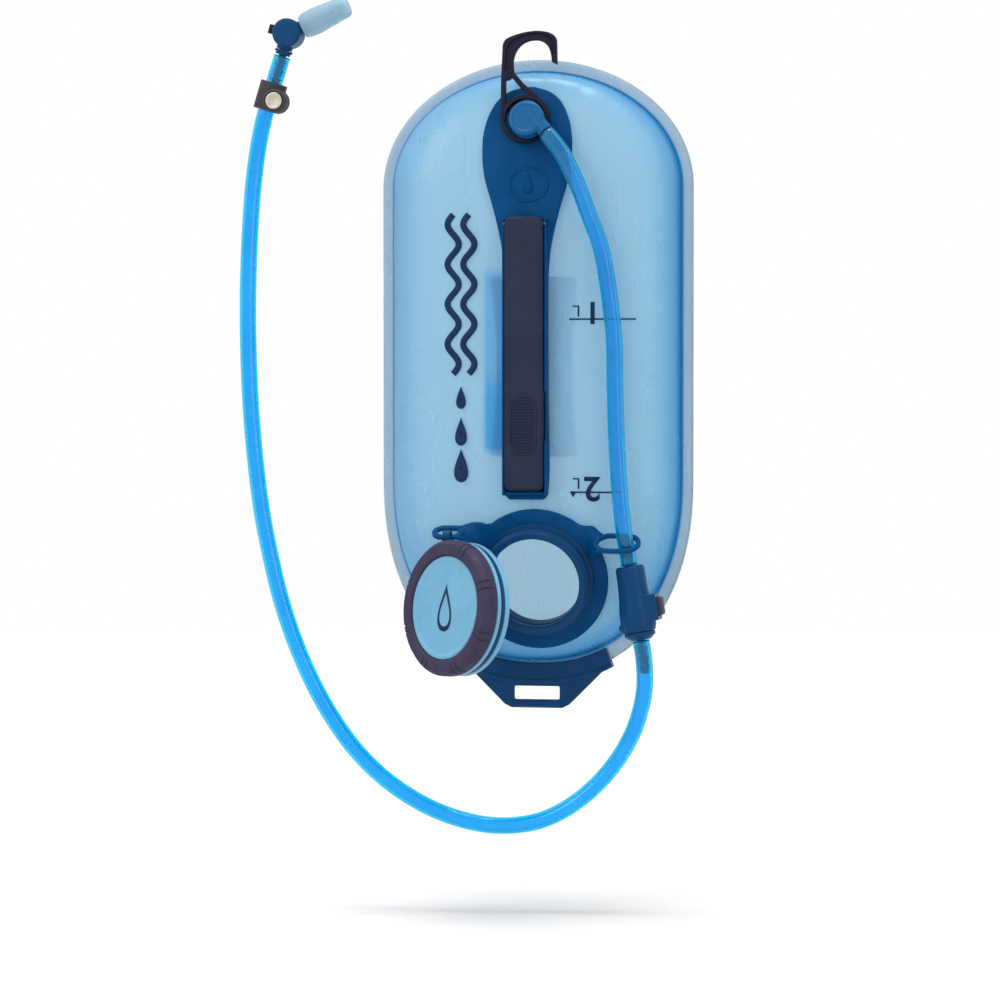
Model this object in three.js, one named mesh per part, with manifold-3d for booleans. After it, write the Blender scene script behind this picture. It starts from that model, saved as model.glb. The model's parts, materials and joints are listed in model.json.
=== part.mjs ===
// Two-litre hydration bladder, hanging upside down from its drying hook with the cap off.
// Millimetres, +X right, -Y front, +Z up. The origin is the hook's seat, the point it hangs from.
import * as THREE from 'three';
import { mergeVertices } from 'three/addons/utils/BufferGeometryUtils.js';
import Module from 'manifold-3d';

const wasm = await Module();
wasm.setup();

const GAP = 0.3;                    // clearance between neighbouring pieces
const DEG = Math.PI / 180;

// Reservoir, in a frame centred on its seam plane
const BAG_X = -3.4;                 // centreline of the bag, beside the hook's seat
const FILM = 1.0;                   // film thickness
const SEAM_HALF_WIDTH = 82;
const TOP_Z = -80.6;                // where the straight sides meet the top arc
const TOP_HEIGHT = 64.6;
const BOTTOM_Z = -245;              // where they meet the bottom arc
const BOTTOM_HEIGHT = 102;
const BOTTOM_POWER = 2.25;          // the bottom arc is slightly squarer than an ellipse
const FLANGE = { side: 7, top: 7.2, bottom: 10 };
const FRONT_CROWN = 34;             // deepest point of the front bulge
const BACK_CROWN = 13;
const CROWN_Z = -170;
const CROWN_SPAN = 165;
const CROWN_FALL = 0.6;
const WALL_RISE = 1.06;             // side wall height over the crown

// Outlet and hook
const OUTLET_TILT = 13;             // degrees the outlet points up
const HOOK_SEAT = [2.9, 43.7, 8];   // the seat, seen from the outlet's own axis
const HOOK_THICK = 3.2;
const EYE = { x: -0.8, y: -2.2, inner: 11.4, outer: 13.9 };
const ELBOW_HEAD = { x: 1.4, y: -4.6 };
// Fill port
const PORT_X = 5;                   // right of the bag's centreline
const PORT_Z = -300;
const PORT_TILT = 13;               // degrees the port points down
const NECK_BORE = 25.2;
const NECK_RADIUS = 29;
const NECK_HEIGHT = 12;
const FLANGE_RADIUS = 40.3;
const EAR_TILT = 72;                // degrees each ear's loop is turned forward
const EAR_ROOT = 29;                // where an ear's arm leaves the flange, from the port's centreline
const HOSE_EAR = { x: 47.2, y: 22.8, z: 9.3, length: 21.4, width: 12.9, band: 2.6, thick: 2.4 };
const STRAP_EAR = { x: -48.5, y: 27.6, z: 6.2, length: 12, width: 6, band: 3.1, thick: 2.2 };
// Spine plate and lever
const PLATE_THICK = 3;
const PLATE_HALF_WIDTH = 12.5;
const LEVER = { top: -99, bottom: -251, halfWidth: 10.9, thick: 7.6 };
const PAD = { halfWidth: 7, bottom: -231, top: -198.5 };
const PIN_RADIUS = 1.3;
// Hose
const HOSE_RADIUS = 4.7;
const HOSE_SIDES = 10;
// Cap
const CAP_RADIUS = 37.5;
const CAP_CENTRE = [-37, -41, -315.3];
const CAP_TURN = 40;                // degrees the cap's face is turned to the left
const CAP_LEAN = 5.5;               // degrees it looks up
// Quick disconnect
const QD_TOP = [55.6, -14, -292.3];
const QD_TILT = 9;
const SOCKET_LENGTH = 36.5;
const PLUG_LENGTH = 41.2;
// Clip and valve on the hose's free end
const HOSE_END_TILT = 17;

const paint = (color, roughness = 0.45, metalness = 0) =>
  new THREE.MeshStandardMaterial({ color, roughness, metalness });
const look = {
  film: paint(0xa5cbe2, 0.3),
  baffle: paint(0x7fb8e4, 0.4),
  plastic: paint(0x004a80),
  disc: paint(0x1c64a0, 0.35),
  lever: paint(0x2a2c42, 0.6),
  hook: paint(0x201e2d, 0.5),
  hose: paint(0x0096dc, 0.15),
  grip: paint(0x38364c, 0.75),
  cap: paint(0x78afd2, 0.3),
  seal: paint(0x9aa4ac, 0.7),
  clip: paint(0x3c3a3e, 0.7),
  magnet: paint(0xa09c91, 0.35, 0.9),
  silicone: paint(0xa5c3cd, 0.4),
  steel: paint(0xb8bcc0, 0.3, 1),
};

// ---------- solids ----------

function signedVolume(positions, triangles) {
  const [a, b, c] = [new THREE.Vector3(), new THREE.Vector3(), new THREE.Vector3()];
  let sum = 0;
  for (let i = 0; i < triangles.length; i += 3) {
    a.fromArray(positions, 3 * triangles[i]);
    b.fromArray(positions, 3 * triangles[i + 1]);
    c.fromArray(positions, 3 * triangles[i + 2]);
    sum += a.dot(b.cross(c));
  }
  return sum / 6;
}

// A closed geometry as a solid, its faces turned outwards
function solid(geometry) {
  const bare = new THREE.BufferGeometry();
  bare.setAttribute('position', geometry.getAttribute('position').clone());
  bare.setIndex(geometry.index);
  const merged = mergeVertices(bare, 1e-4);
  const positions = Float32Array.from(merged.getAttribute('position').array);
  const triangles = [];
  const index = merged.index.array;
  for (let i = 0; i < index.length; i += 3) {
    const [a, b, c] = [index[i], index[i + 1], index[i + 2]];
    if (a !== b && b !== c && a !== c) triangles.push(a, b, c);
  }
  if (signedVolume(positions, triangles) < 0) {
    for (let i = 0; i < triangles.length; i += 3) {
      [triangles[i], triangles[i + 1]] = [triangles[i + 1], triangles[i]];
    }
  }
  const triVerts = Uint32Array.from(triangles);
  return new wasm.Manifold(new wasm.Mesh({ numProp: 3, vertProperties: positions, triVerts }));
}

function geometryOf(body) {
  const mesh = body.getMesh();
  const geometry = new THREE.BufferGeometry();
  geometry.setAttribute('position', new THREE.BufferAttribute(mesh.vertProperties, 3));
  geometry.setIndex(new THREE.BufferAttribute(mesh.triVerts, 1));
  geometry.computeVertexNormals();
  return geometry;
}

const join = (...bodies) => bodies.reduce((all, body) => all.add(body));
const cut = (body, ...tools) => tools.reduce((rest, tool) => rest.subtract(tool), body);

// Spun about Z from a closed list of [radius, z]
function spun(profile, segments = 20) {
  const points = [...profile, profile[0]].map(([r, z]) => new THREE.Vector2(r, z));
  return solid(new THREE.LatheGeometry(points, segments).rotateX(Math.PI / 2));
}

// A cylinder along Z between two heights, with a small chamfer at both rims where asked
function rod(radius, low, high, segments = 16, chamfer = 0) {
  const c = chamfer;
  const side = [[radius - c, low], [radius, low + c], [radius, high - c], [radius - c, high]];
  return spun([[0, low], ...side, [0, high]], segments);
}

function tube(inner, outer, low, high, segments = 20) {
  return spun([[inner, low], [outer, low], [outer, high], [inner, high]], segments);
}

// A flat shape in XY, raised from one height to another
function slab(shape, low, high, steps = 6) {
  const options = { depth: high - low, bevelEnabled: false, curveSegments: steps };
  return solid(new THREE.ExtrudeGeometry(shape, options).translate(0, 0, low));
}

function box(xs, ys, zs) {
  const size = [xs, ys, zs].map(([low, high]) => high - low);
  const middle = [xs, ys, zs].map(([low, high]) => (high + low) / 2);
  return solid(new THREE.BoxGeometry(...size).translate(...middle));
}

function moved(body, matrix) {
  return body.transform(matrix.elements);
}

const turned = (body, x, y, z) =>
  moved(body, new THREE.Matrix4().makeRotationFromEuler(new THREE.Euler(x * DEG, y * DEG, z * DEG)));
const shifted = (body, x, y, z) => moved(body, new THREE.Matrix4().makeTranslation(x, y, z));

function polygon(points) {
  return new THREE.Shape(points.map(([x, y]) => new THREE.Vector2(x, y)));
}

function roundedRect(halfWidth, low, high, radius) {
  const shape = new THREE.Shape();
  shape.moveTo(-halfWidth + radius, low);
  shape.lineTo(halfWidth - radius, low);
  shape.quadraticCurveTo(halfWidth, low, halfWidth, low + radius);
  shape.lineTo(halfWidth, high - radius);
  shape.quadraticCurveTo(halfWidth, high, halfWidth - radius, high);
  shape.lineTo(-halfWidth + radius, high);
  shape.quadraticCurveTo(-halfWidth, high, -halfWidth, high - radius);
  shape.lineTo(-halfWidth, low + radius);
  shape.quadraticCurveTo(-halfWidth, low, -halfWidth + radius, low);
  return shape;
}

// A slot or ring outline: a rectangle with round ends
function stadium(length, width) {
  const reach = (length - width) / 2;
  const shape = new THREE.Shape();
  shape.absarc(reach, 0, width / 2, -Math.PI / 2, Math.PI / 2, false);
  shape.absarc(-reach, 0, width / 2, Math.PI / 2, Math.PI * 1.5, false);
  return shape;
}

// A band of even width along a line of [x, y]
function band(points, width, low, high) {
  const line = points.map(([x, y]) => new THREE.Vector2(x, y));
  const left = [];
  const right = [];
  line.forEach((point, i) => {
    const along = line[Math.min(i + 1, line.length - 1)].clone().sub(line[Math.max(i - 1, 0)]).normalize();
    const side = new THREE.Vector2(-along.y, along.x).multiplyScalar(width / 2);
    left.push(point.clone().add(side));
    right.unshift(point.clone().sub(side));
  });
  return slab(new THREE.Shape([...left, ...right]), low, high);
}

// ---------- the bag's surface ----------

function edgeRatio(x, z) {
  if (z > TOP_Z) return Math.hypot(x / SEAM_HALF_WIDTH, (z - TOP_Z) / TOP_HEIGHT);
  if (z > BOTTOM_Z) return Math.abs(x) / SEAM_HALF_WIDTH;
  const across = Math.abs(x / SEAM_HALF_WIDTH) ** BOTTOM_POWER;
  const down = Math.abs((z - BOTTOM_Z) / BOTTOM_HEIGHT) ** BOTTOM_POWER;
  return (across + down) ** (1 / BOTTOM_POWER);
}

// Depth of a bulge at a point: a gently crowned face that meets a steep, rounded side wall
function bulge(x, z, crown) {
  const ratio = Math.min(edgeRatio(x, z), 1);
  if (ratio > 0.9999) return 0;
  const face = crown * (1 - CROWN_FALL * ((z - CROWN_Z) / CROWN_SPAN) ** 4);
  const wall = crown * WALL_RISE * Math.sqrt(1 - ratio ** 4);
  return (face ** -6 + wall ** -6) ** (-1 / 6);
}

const faceY = (x, z) => -(GAP / 2 + FILM + bulge(x, z, FRONT_CROWN));

// The seam's outline, grown outwards, in one order for every ring
function outline(side = 0, top = 0, bottom = 0) {
  const points = [];
  const arcSteps = 13;
  const sideSteps = 4;
  const half = SEAM_HALF_WIDTH + side;
  for (let i = 0; i <= arcSteps; i++) {
    const angle = Math.PI * i / arcSteps;
    points.push([half * Math.cos(angle), TOP_Z + (TOP_HEIGHT + top) * Math.sin(angle)]);
  }
  const sideZ = (i) => TOP_Z + (BOTTOM_Z - TOP_Z) * i / sideSteps;
  for (let i = 1; i < sideSteps; i++) points.push([-half, sideZ(i)]);
  for (let i = 0; i <= arcSteps; i++) points.push(bottomPoint(Math.PI * (1 + i / arcSteps), side, bottom));
  for (let i = sideSteps - 1; i > 0; i--) points.push([half, sideZ(i)]);
  return points;
}

function bottomPoint(angle, side, bottom) {
  const bend = (v) => Math.sign(v) * Math.abs(v) ** (2 / BOTTOM_POWER);
  const x = (SEAM_HALF_WIDTH + side) * bend(Math.cos(angle));
  return [x, BOTTOM_Z + (BOTTOM_HEIGHT + bottom) * bend(Math.sin(angle))];
}

// One film shell: flange, side wall and crowned face, one film thick all over
function filmShell(crown, sign) {
  const rims = outline(FLANGE.side, FLANGE.top, FLANGE.bottom);
  const seam = outline();
  const inset = FILM * 1.25 / SEAM_HALF_WIDTH;
  const ratios = [0, 0.4, 0.68, 0.84, 0.94, 0.985, 1];
  const ring = (ratio, y) => seam.map(([x, z]) => {
    const core = Math.min(Math.max(z, BOTTOM_Z), TOP_Z);
    return [x * ratio, y(x * ratio, core + (z - core) * ratio), core + (z - core) * ratio];
  });
  const near = GAP / 2;
  const far = GAP / 2 + FILM;
  const outer = ratios.map((ratio) => ring(ratio, (x, z) => sign * (far + bulge(x, z, crown))));
  const inner = ratios.map((ratio, i) => ring(ratio * (1 - inset), () => 0).map(([x, , z], k) => {
    const depth = Math.max(Math.abs(outer[i][k][1]) - far - FILM, 0);
    return [x, sign * (near + depth), z];
  }));
  const flat = (y) => rims.map(([x, z]) => [x, sign * y, z]);
  return solid(skin([...outer, flat(far), flat(near), ...inner.reverse()]));
}

// A surface through closed rings of points; the first and last rings shrink to a line or a point
function skin(rings) {
  const count = rings[0].length;
  const positions = rings.flat(2);
  const index = [];
  for (let r = 0; r + 1 < rings.length; r++) {
    for (let i = 0; i < count; i++) {
      const [a, b] = [r * count + i, r * count + (i + 1) % count];
      index.push(a, b, b + count, a, b + count, a + count);
    }
  }
  const geometry = new THREE.BufferGeometry();
  geometry.setAttribute('position', new THREE.Float32BufferAttribute(positions, 3));
  geometry.setIndex(index);
  return geometry;
}

// ---------- assembly frames ----------

const bag = new THREE.Group();
const outlet = new THREE.Group();
const port = new THREE.Group();
const cap = new THREE.Group();
const coupling = new THREE.Group();
const clip = new THREE.Group();
const valve = new THREE.Group();
const part = new THREE.Group();
part.add(bag, outlet, port, cap, coupling, clip, valve);

outlet.rotation.x = (90 - OUTLET_TILT) * DEG;
outlet.position.fromArray(HOOK_SEAT).applyEuler(outlet.rotation).negate();
const outletZ = outlet.position.z;
const SEAM_Y = outlet.position.y - faceY(outlet.position.x - BAG_X, outletZ);
bag.position.set(BAG_X, SEAM_Y, 0);
port.position.set(BAG_X + PORT_X, SEAM_Y + faceY(PORT_X, PORT_Z), PORT_Z);
port.rotation.x = (90 + PORT_TILT) * DEG;
cap.position.fromArray(CAP_CENTRE);
cap.rotation.set((90 - CAP_LEAN) * DEG, 0, -CAP_TURN * DEG, 'ZXY');
coupling.position.fromArray(QD_TOP);
coupling.rotation.y = -QD_TILT * DEG;
part.updateMatrixWorld(true);

function piece(group, name, body, material) {
  const mesh = new THREE.Mesh(geometryOf(body), material);
  mesh.name = name;
  group.add(mesh);
  return mesh;
}

// A body made in one group's frame, seen from another's
function seenFrom(target, source, body) {
  const matrix = target.matrixWorld.clone().invert().multiply(source.matrixWorld);
  return moved(body, matrix);
}

// ---------- reservoir ----------

function makeReservoir() {
  const stemHole = seenFrom(bag, outlet, rod(6.2, -15, 15));
  const neckHole = seenFrom(bag, port, rod(NECK_RADIUS + 3 * GAP, -15, 15, 28));
  piece(bag, 'front_shell', cut(filmShell(FRONT_CROWN, -1), stemHole, neckHole), look.film);
  piece(bag, 'back_shell', filmShell(BACK_CROWN, 1), look.film);
  piece(bag, 'centre_baffle', baffle(), look.baffle);
}

// A sleeve of film that ties the two faces together, open at its top and bottom
function baffle() {
  const [halfWidth, low, high] = [22, -232, -132];
  const front = faceY(0, CROWN_Z) + FILM + 1.6;
  const back = bulge(0, CROWN_Z, BACK_CROWN) - 1.6;
  const outer = box([-halfWidth, halfWidth], [front, back], [low, high]);
  const inner = box([FILM - halfWidth, halfWidth - FILM], [front + FILM, back - FILM], [low - 1, high + 1]);
  return cut(outer, inner);
}

// ---------- spine plate, lever and pin ----------

// Half width of the plate: a rounded paddle at the top that narrows to a straight channel
const paddleCurve = new THREE.SplineCurve([
  [-26, 3], [-29, 12], [-34, 17.8], [-42, 22.2], [-52, 24.8], [-62, 25.3], [-76, 24], [-90, 20], [-103, 16.5],
  [-118, 13.6], [-134, PLATE_HALF_WIDTH],
].map(([z, w]) => new THREE.Vector2(z, w)));

function plateRows() {
  const rows = paddleCurve.getPoints(16).map((p) => [p.x, p.y]);
  for (let i = 1; i <= 4; i++) rows.push([-134 - 30 * i, PLATE_HALF_WIDTH]);
  rows.push([-256, PLATE_HALF_WIDTH - 3]);
  return rows;
}

function conformingPlate(rows, low, high) {
  const columns = 4;
  const across = (w, i) => w * (2 * i / columns - 1);
  const rings = rows.map(([z, w]) => {
    const back = [];
    const front = [];
    for (let i = 0; i <= columns; i++) {
      const x = across(w, i);
      back.push([x, faceY(x, z) - low, z]);
      front.unshift([x, faceY(x, z) - high, z]);
    }
    return [...back, ...front];
  });
  const closed = (ring) => ring.map((_, i) => ring[Math.min(i, ring.length - 1 - i)]);
  return solid(skin([closed(rings[0]), ...rings, closed(rings.at(-1))]));
}

const leverBack = faceY(0, CROWN_Z) - GAP - PLATE_THICK - 0.4;
const pinZ = LEVER.top - 4;
const pinY = leverBack - 3.8;

function makeSpine() {
  const plate = conformingPlate(plateRows(), GAP, GAP + PLATE_THICK);
  const stem = seenFrom(bag, outlet, rod(6.2, -10, 12));
  const wallBack = leverBack + 2.4;
  const wallFront = leverBack - 5.2;
  const inner = LEVER.halfWidth + GAP;
  const wall = (sign) => box([inner, PLATE_HALF_WIDTH].map((x) => sign * x).sort((a, b) => a - b),
    [wallFront, wallBack], [LEVER.bottom - 2.6, LEVER.top - 1]);
  const foot = box([-PLATE_HALF_WIDTH, PLATE_HALF_WIDTH], [leverBack - 2.5, wallBack],
    [LEVER.bottom - 2.6, LEVER.bottom - GAP]);
  const pinHole = along(rod(PIN_RADIUS + GAP, -20, 20, 12));
  const spine = cut(join(plate, wall(1), wall(-1), foot), stem, pinHole);
  piece(bag, 'spine_plate', spine, look.plastic);
  piece(bag, 'lever_pin', along(rod(PIN_RADIUS, -12.2, 12.2, 12, 0.2)), look.steel);
  piece(bag, 'clip_lever', lever(pinHole), look.lever);
}

// A body along Z laid along X at the lever's pivot
const along = (body) => shifted(turned(body, 0, 90, 0), 0, pinY, pinZ);

// The long clip lever, hollow behind, with a raised thumb pad near its free end
function lever(pinHole) {
  const upright = (shape, low, high) => turned(slab(shape, low, high), 90, 0, 0);
  const front = -leverBack + LEVER.thick;
  const bar = roundedRect(LEVER.halfWidth, LEVER.bottom, LEVER.top, 2.5);
  const rim = roundedRect(LEVER.halfWidth - 0.9, LEVER.bottom + 0.9, LEVER.top - 0.9, 2);
  const pad = roundedRect(PAD.halfWidth, PAD.bottom, PAD.top, 6.2);
  const relief = box([-20, 20], [pinY + 1.9, pinY + 9], [pinZ + 1.8, pinZ + 9]);
  const hollow = roundedRect(LEVER.halfWidth - 3, LEVER.bottom + 4, LEVER.top - 14, 2);
  return cut(join(
    upright(bar, -leverBack, front - 0.8),
    upright(rim, front - 1.2, front),
    upright(pad, front - 0.6, front + 0.7),
  ), upright(hollow, -leverBack - 1, -leverBack + 3.4), relief, pinHole);
}

// ---------- outlet, elbow and hook ----------

const plateTop = GAP + PLATE_THICK;                 // height of the plate over the film at the outlet
const ringLow = HOOK_SEAT[2] - HOOK_THICK / 2;
const ringHigh = HOOK_SEAT[2] + HOOK_THICK / 2;
const discLow = ringHigh + 2 * GAP;
const BARB = { x: 9.7, y: -8.6, z: 14.5, angle: -50.5, radius: 4.3 };

function makeOutlet() {
  const socket = spun([[4.2, -9], [5.8, -9], [5.8, plateTop + GAP], [11, plateTop + 2 * GAP],
    [11, ringLow - GAP], [8.5, ringLow - GAP], [8.5, ringHigh + GAP], [4.2, ringHigh + GAP]], 24);
  piece(outlet, 'outlet_socket', socket, look.plastic);
  const seal = new THREE.TorusGeometry(3.62, 0.42, 5, 14).translate(0, 0, 1);
  piece(outlet, 'outlet_seal', solid(seal), look.seal);
  piece(outlet, 'elbow', elbow(), look.disc);
  piece(outlet, 'drying_hook', hook(), look.hook);
}

// Swivel elbow: a spigot in the socket, a round head and a side spout that the hose pushes onto
function elbow() {
  const spigot = spun([[0, -8], [3.9, -8], [3.9, 0.4], [3.0, 0.5], [3.0, 1.5], [3.9, 1.6], [3.9, discLow + 1],
    [0, discLow + 1]]);
  const headSide = [[9.6, discLow], [9.9, discLow + 0.4], [9.9, 17.6], [8.6, 18.7]];
  const head = shifted(spun([[0, discLow], ...headSide, [0, 18.9]], 24), ELBOW_HEAD.x, ELBOW_HEAD.y, 0);
  const spout = (radius, low, high) => shifted(
    turned(turned(rod(radius, low, high), 0, 90, 0), 0, 0, BARB.angle), BARB.x, BARB.y, BARB.z);
  const rise = rod(2.4, -9, BARB.z);
  const across = Math.atan2(BARB.y, BARB.x) / DEG;
  const spill = shifted(turned(turned(rod(2.3, -2, 12), 0, 90, 0), 0, 0, across), 0, 0, BARB.z);
  return cut(join(spigot, head, spout(BARB.radius, -6, 4)), rise, spill, spout(2.3, -1, 20));
}

// The drying hook: an oval eye round the outlet's neck, two legs, and an open arch over the seat
function hook() {
  const x0 = -2.5;
  const low = ringLow;
  const high = ringHigh;
  const eye = shifted(tube(EYE.inner, EYE.outer, low, high, 28), EYE.x, EYE.y, 0);
  const leftLeg = band([[-13.2, -3], [-13.6, 10], [-14, 23]], 2.7, low, high);
  const slantLeg = band([[-10.1, 25], [-3.2, 16.8], [4.9, 9.8]], 2.9, low, high);
  const arch = new THREE.Shape();
  arch.moveTo(-12.8, 20.5);
  arch.lineTo(-12.8, 41.1);
  arch.lineTo(-9.7, 44.9);
  arch.quadraticCurveTo(-2.5, 48.2, 5.4, 48.6);
  arch.lineTo(12.5, 47.4);
  arch.lineTo(17.7, 43.7);
  arch.lineTo(18.6, 29.3);
  arch.lineTo(15.4, 30.7);
  arch.bezierCurveTo(14.9, 38, 12, 43.7, 5.4, 43.7);
  arch.bezierCurveTo(-3.5, 43.7, -6.6, 36, -6.3, 30);
  arch.quadraticCurveTo(-6.1, 26, -4.9, 23.5);
  arch.lineTo(-8.6, 20.5);
  const top = shifted(slab(arch, low, high, 5), x0, 0, 0);
  const web = [[-9.6, 25], [-9.6, 37], [-7.9, 40.9], [-2, 44.7], [5.4, 46.1], [11.6, 45.1], [15.7, 41.6],
    [16.8, 34]];
  const groove = (from, to) => band(web.map(([x, y]) => [x + x0, y]), 2, from, to);
  return cut(join(eye, leftLeg, slantLeg, top), groove(low - 1, low + 0.9), groove(high - 0.9, high + 1));
}

// ---------- fill port ----------

// A slotted loop turned forward off the flange, and the cutter for its slot
function earLoop(ear) {
  const tipped = (shape, reach) =>
    shifted(turned(slab(shape, -reach, reach, 6), -EAR_TILT, 0, 0), ear.x, ear.y, ear.z);
  const outer = stadium(ear.length + 2 * ear.band, ear.width + 2 * ear.band);
  return [tipped(outer, ear.thick / 2), tipped(stadium(ear.length, ear.width), 3 * ear.thick)];
}

// A flat arm that leaves the flange level and twists forward into an ear's loop, ending at x = to
function earArm(ear, rootY, to) {
  const steps = 6;
  const from = Math.sign(ear.x) * EAR_ROOT;
  const rings = [];
  for (let i = 0; i <= steps; i++) {
    const t = i / steps;
    const ease = t * t * (3 - 2 * t);
    const mix = (a, b) => a + (b - a) * ease;
    const angle = -EAR_TILT * DEG * ease;
    const half = mix(8.5, ear.width / 2 + ear.band);
    const thick = mix(2.2, ear.thick) / 2;
    const corners = [[-half, -thick], [half, -thick], [half, thick], [-half, thick]];
    rings.push(corners.map(([v, n]) => [from + (to - from) * t,
      mix(rootY, ear.y) + v * Math.cos(angle) - n * Math.sin(angle),
      mix(1.7, ear.z) + v * Math.sin(angle) + n * Math.cos(angle)]));
  }
  const end = (ring) => ring.map(() => [0, 1, 2].map((k) => (ring[0][k] + ring[2][k]) / 2));
  return solid(skin([end(rings[0]), ...rings, end(rings.at(-1))]));
}

function makePort() {
  const low = GAP + 0.2;
  const high = low + 2.2;
  const plate = rod(FLANGE_RADIUS, low, high, 36, 0.5);
  const shoulders = slab(polygon([[-32, 15], [-30, -2], [30, -2], [32, 14], [33, 30.5], [27, 31], [0, 36],
    [-27, 31.5], [-33, 32]]), low, high);
  const [rightEar, rightSlot] = earLoop(HOSE_EAR);
  const [leftEar, leftSlot] = earLoop(STRAP_EAR);
  const arms = join(earArm(HOSE_EAR, 22.3, 38), earArm(STRAP_EAR, 23.8, -43));
  const hole = rod(NECK_RADIUS + 2 * GAP, -2, high + 20, 28);
  const body = join(plate, shoulders, arms, rightEar, leftEar);
  piece(port, 'port_flange', cut(body, rightSlot, leftSlot, hole), look.plastic);
  piece(port, 'port_neck', neck(high + GAP), look.plastic);
}

function neck(base) {
  const ridge = NECK_RADIUS + 1.3;
  return spun([[NECK_BORE, -3.5], [NECK_RADIUS, -3.5], [NECK_RADIUS, base], [32.3, base], [32.3, base + 0.9],
    [NECK_RADIUS, base + 1.6], [NECK_RADIUS, 6.2], [ridge, 6.7], [ridge, 7.3], [NECK_RADIUS, 7.8],
    [NECK_RADIUS, 9], [ridge, 9.5], [ridge, 10.1], [NECK_RADIUS, 10.6], [NECK_RADIUS, NECK_HEIGHT - 0.5],
    [NECK_RADIUS - 0.5, NECK_HEIGHT], [NECK_BORE + 0.8, NECK_HEIGHT],
    [NECK_BORE, NECK_HEIGHT - 0.8]], 28);
}

// ---------- cap and tether ----------

function makeCap() {
  const face = 9;
  const gripInner = 28.8;
  const grip = spun([[gripInner, face - 3], [gripInner, face - 1], [30, face], [35.2, face],
    [CAP_RADIUS, face - 2.6], [CAP_RADIUS, 1], [36.6, 0.3], [34.5, 0.3], [34.5, face - 3]], 28);
  piece(cap, 'cap_grip', cut(grip, ...gripGrooves()), look.grip);
  const body = spun([[0, 3.4], [31.4, 3.4], [31.4, -8.6], [36.8, -8.6], [36.8, -5.6], [33, -5.4], [33, -2.8],
    [37, -2.6], [37, -0.1], [34.2, 0], [34.2, 5.7], [gripInner - GAP, 5.7], [gripInner - GAP, 7.6], [27, 8],
    [0, 8]], 28);
  piece(cap, 'cap_body', body, look.cap);
  piece(cap, 'cap_gasket', tube(24.5, 31, 1.2, 3.1, 28), look.seal);
  piece(cap, 'cap_tether', tether(), look.plastic);
}

// Pairs of shallow grooves across the grip ring
function gripGrooves() {
  const grooves = [];
  for (let i = 0; i < 8; i++) {
    for (const offset of [-2.1, 2.1]) {
      const groove = box([32, 40], [offset - 0.45, offset + 0.45], [4.5, 12]);
      grooves.push(turned(cut(groove, box([31, 36.6], [-9, 9], [3, 8.3])), 0, 0, 22.5 + 45 * i));
    }
  }
  return grooves;
}

// Ring that turns in the cap's groove, and the strap that loops round the left ear's lower band
function tether() {
  const ring = tube(33.6, 36.7, -5.1, -3.1, 28);
  const eyelet = turned(tube(2.6, 3.9, -2.2, 2.2, 14), 0, 90, 0);
  const loop = seenFrom(cap, part, shifted(eyelet, ...strapPivot()));
  const tail = seenFrom(cap, part, strapTail());
  return join(ring, loop, tail);
}

// Middle of the left ear's lower band, which the strap swings about
function strapPivot() {
  const drop = (STRAP_EAR.width + STRAP_EAR.band) / 2;
  const middle = new THREE.Vector3(STRAP_EAR.x + 0.3, STRAP_EAR.y - drop * Math.cos(EAR_TILT * DEG),
    STRAP_EAR.z + drop * Math.sin(EAR_TILT * DEG));
  return port.localToWorld(middle).toArray();
}

function strapTail() {
  const pivot = new THREE.Vector3(...strapPivot());
  const rim = cap.localToWorld(new THREE.Vector3(-23.2, 27.5, -4.1));
  const outside = cap.localToWorld(new THREE.Vector3(-25.5, 30.2, -4.1));
  const start = pivot.clone().add(new THREE.Vector3(0, -2.6, -2.6));
  const bend = start.clone().lerp(outside, 0.5).add(new THREE.Vector3(0, 0, -0.5));
  const section = polygon([[-0.6, -0.9], [0.6, -0.9], [0.6, 0.9], [-0.6, 0.9]]);
  const path = new THREE.CatmullRomCurve3([start, bend, outside, rim]);
  return solid(new THREE.ExtrudeGeometry(section, { steps: 8, extrudePath: path }));
}

// ---------- hoses and quick disconnect ----------

const upperRoute = [
  [9.6, -18.9, -53], [13.8, -19.3, -58], [18.4, -18.9, -64.3], [25, -18, -77.5], [29.5, -17.2, -88.5],
  [33.5, -16.6, -99.5], [38, -16.2, -111], [41, -16, -122], [43, -15.6, -133.5], [45, -15.2, -148],
  [47, -15, -167], [47.5, -15, -189.5], [48, -15, -211.5], [49, -15, -234], [50.5, -15.3, -254],
  [52, -16.1, -268], [53.1, -16.3, -276], [54.1, -14.7, -283], [55.5, -14, -291.8],
];

function hoseTube(route) {
  const curve = new THREE.CatmullRomCurve3(route.map((p) => new THREE.Vector3(...p)), false, 'centripetal');
  const corner = (_, i) => {
    const angle = 2 * Math.PI * i / HOSE_SIDES;
    return [HOSE_RADIUS * Math.cos(angle), HOSE_RADIUS * Math.sin(angle)];
  };
  const section = polygon(Array.from({ length: HOSE_SIDES }, corner));
  const steps = Math.ceil(curve.getLength() / (4.5 * HOSE_RADIUS));
  return solid(new THREE.ExtrudeGeometry(section, { steps, extrudePath: curve }));
}

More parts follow.
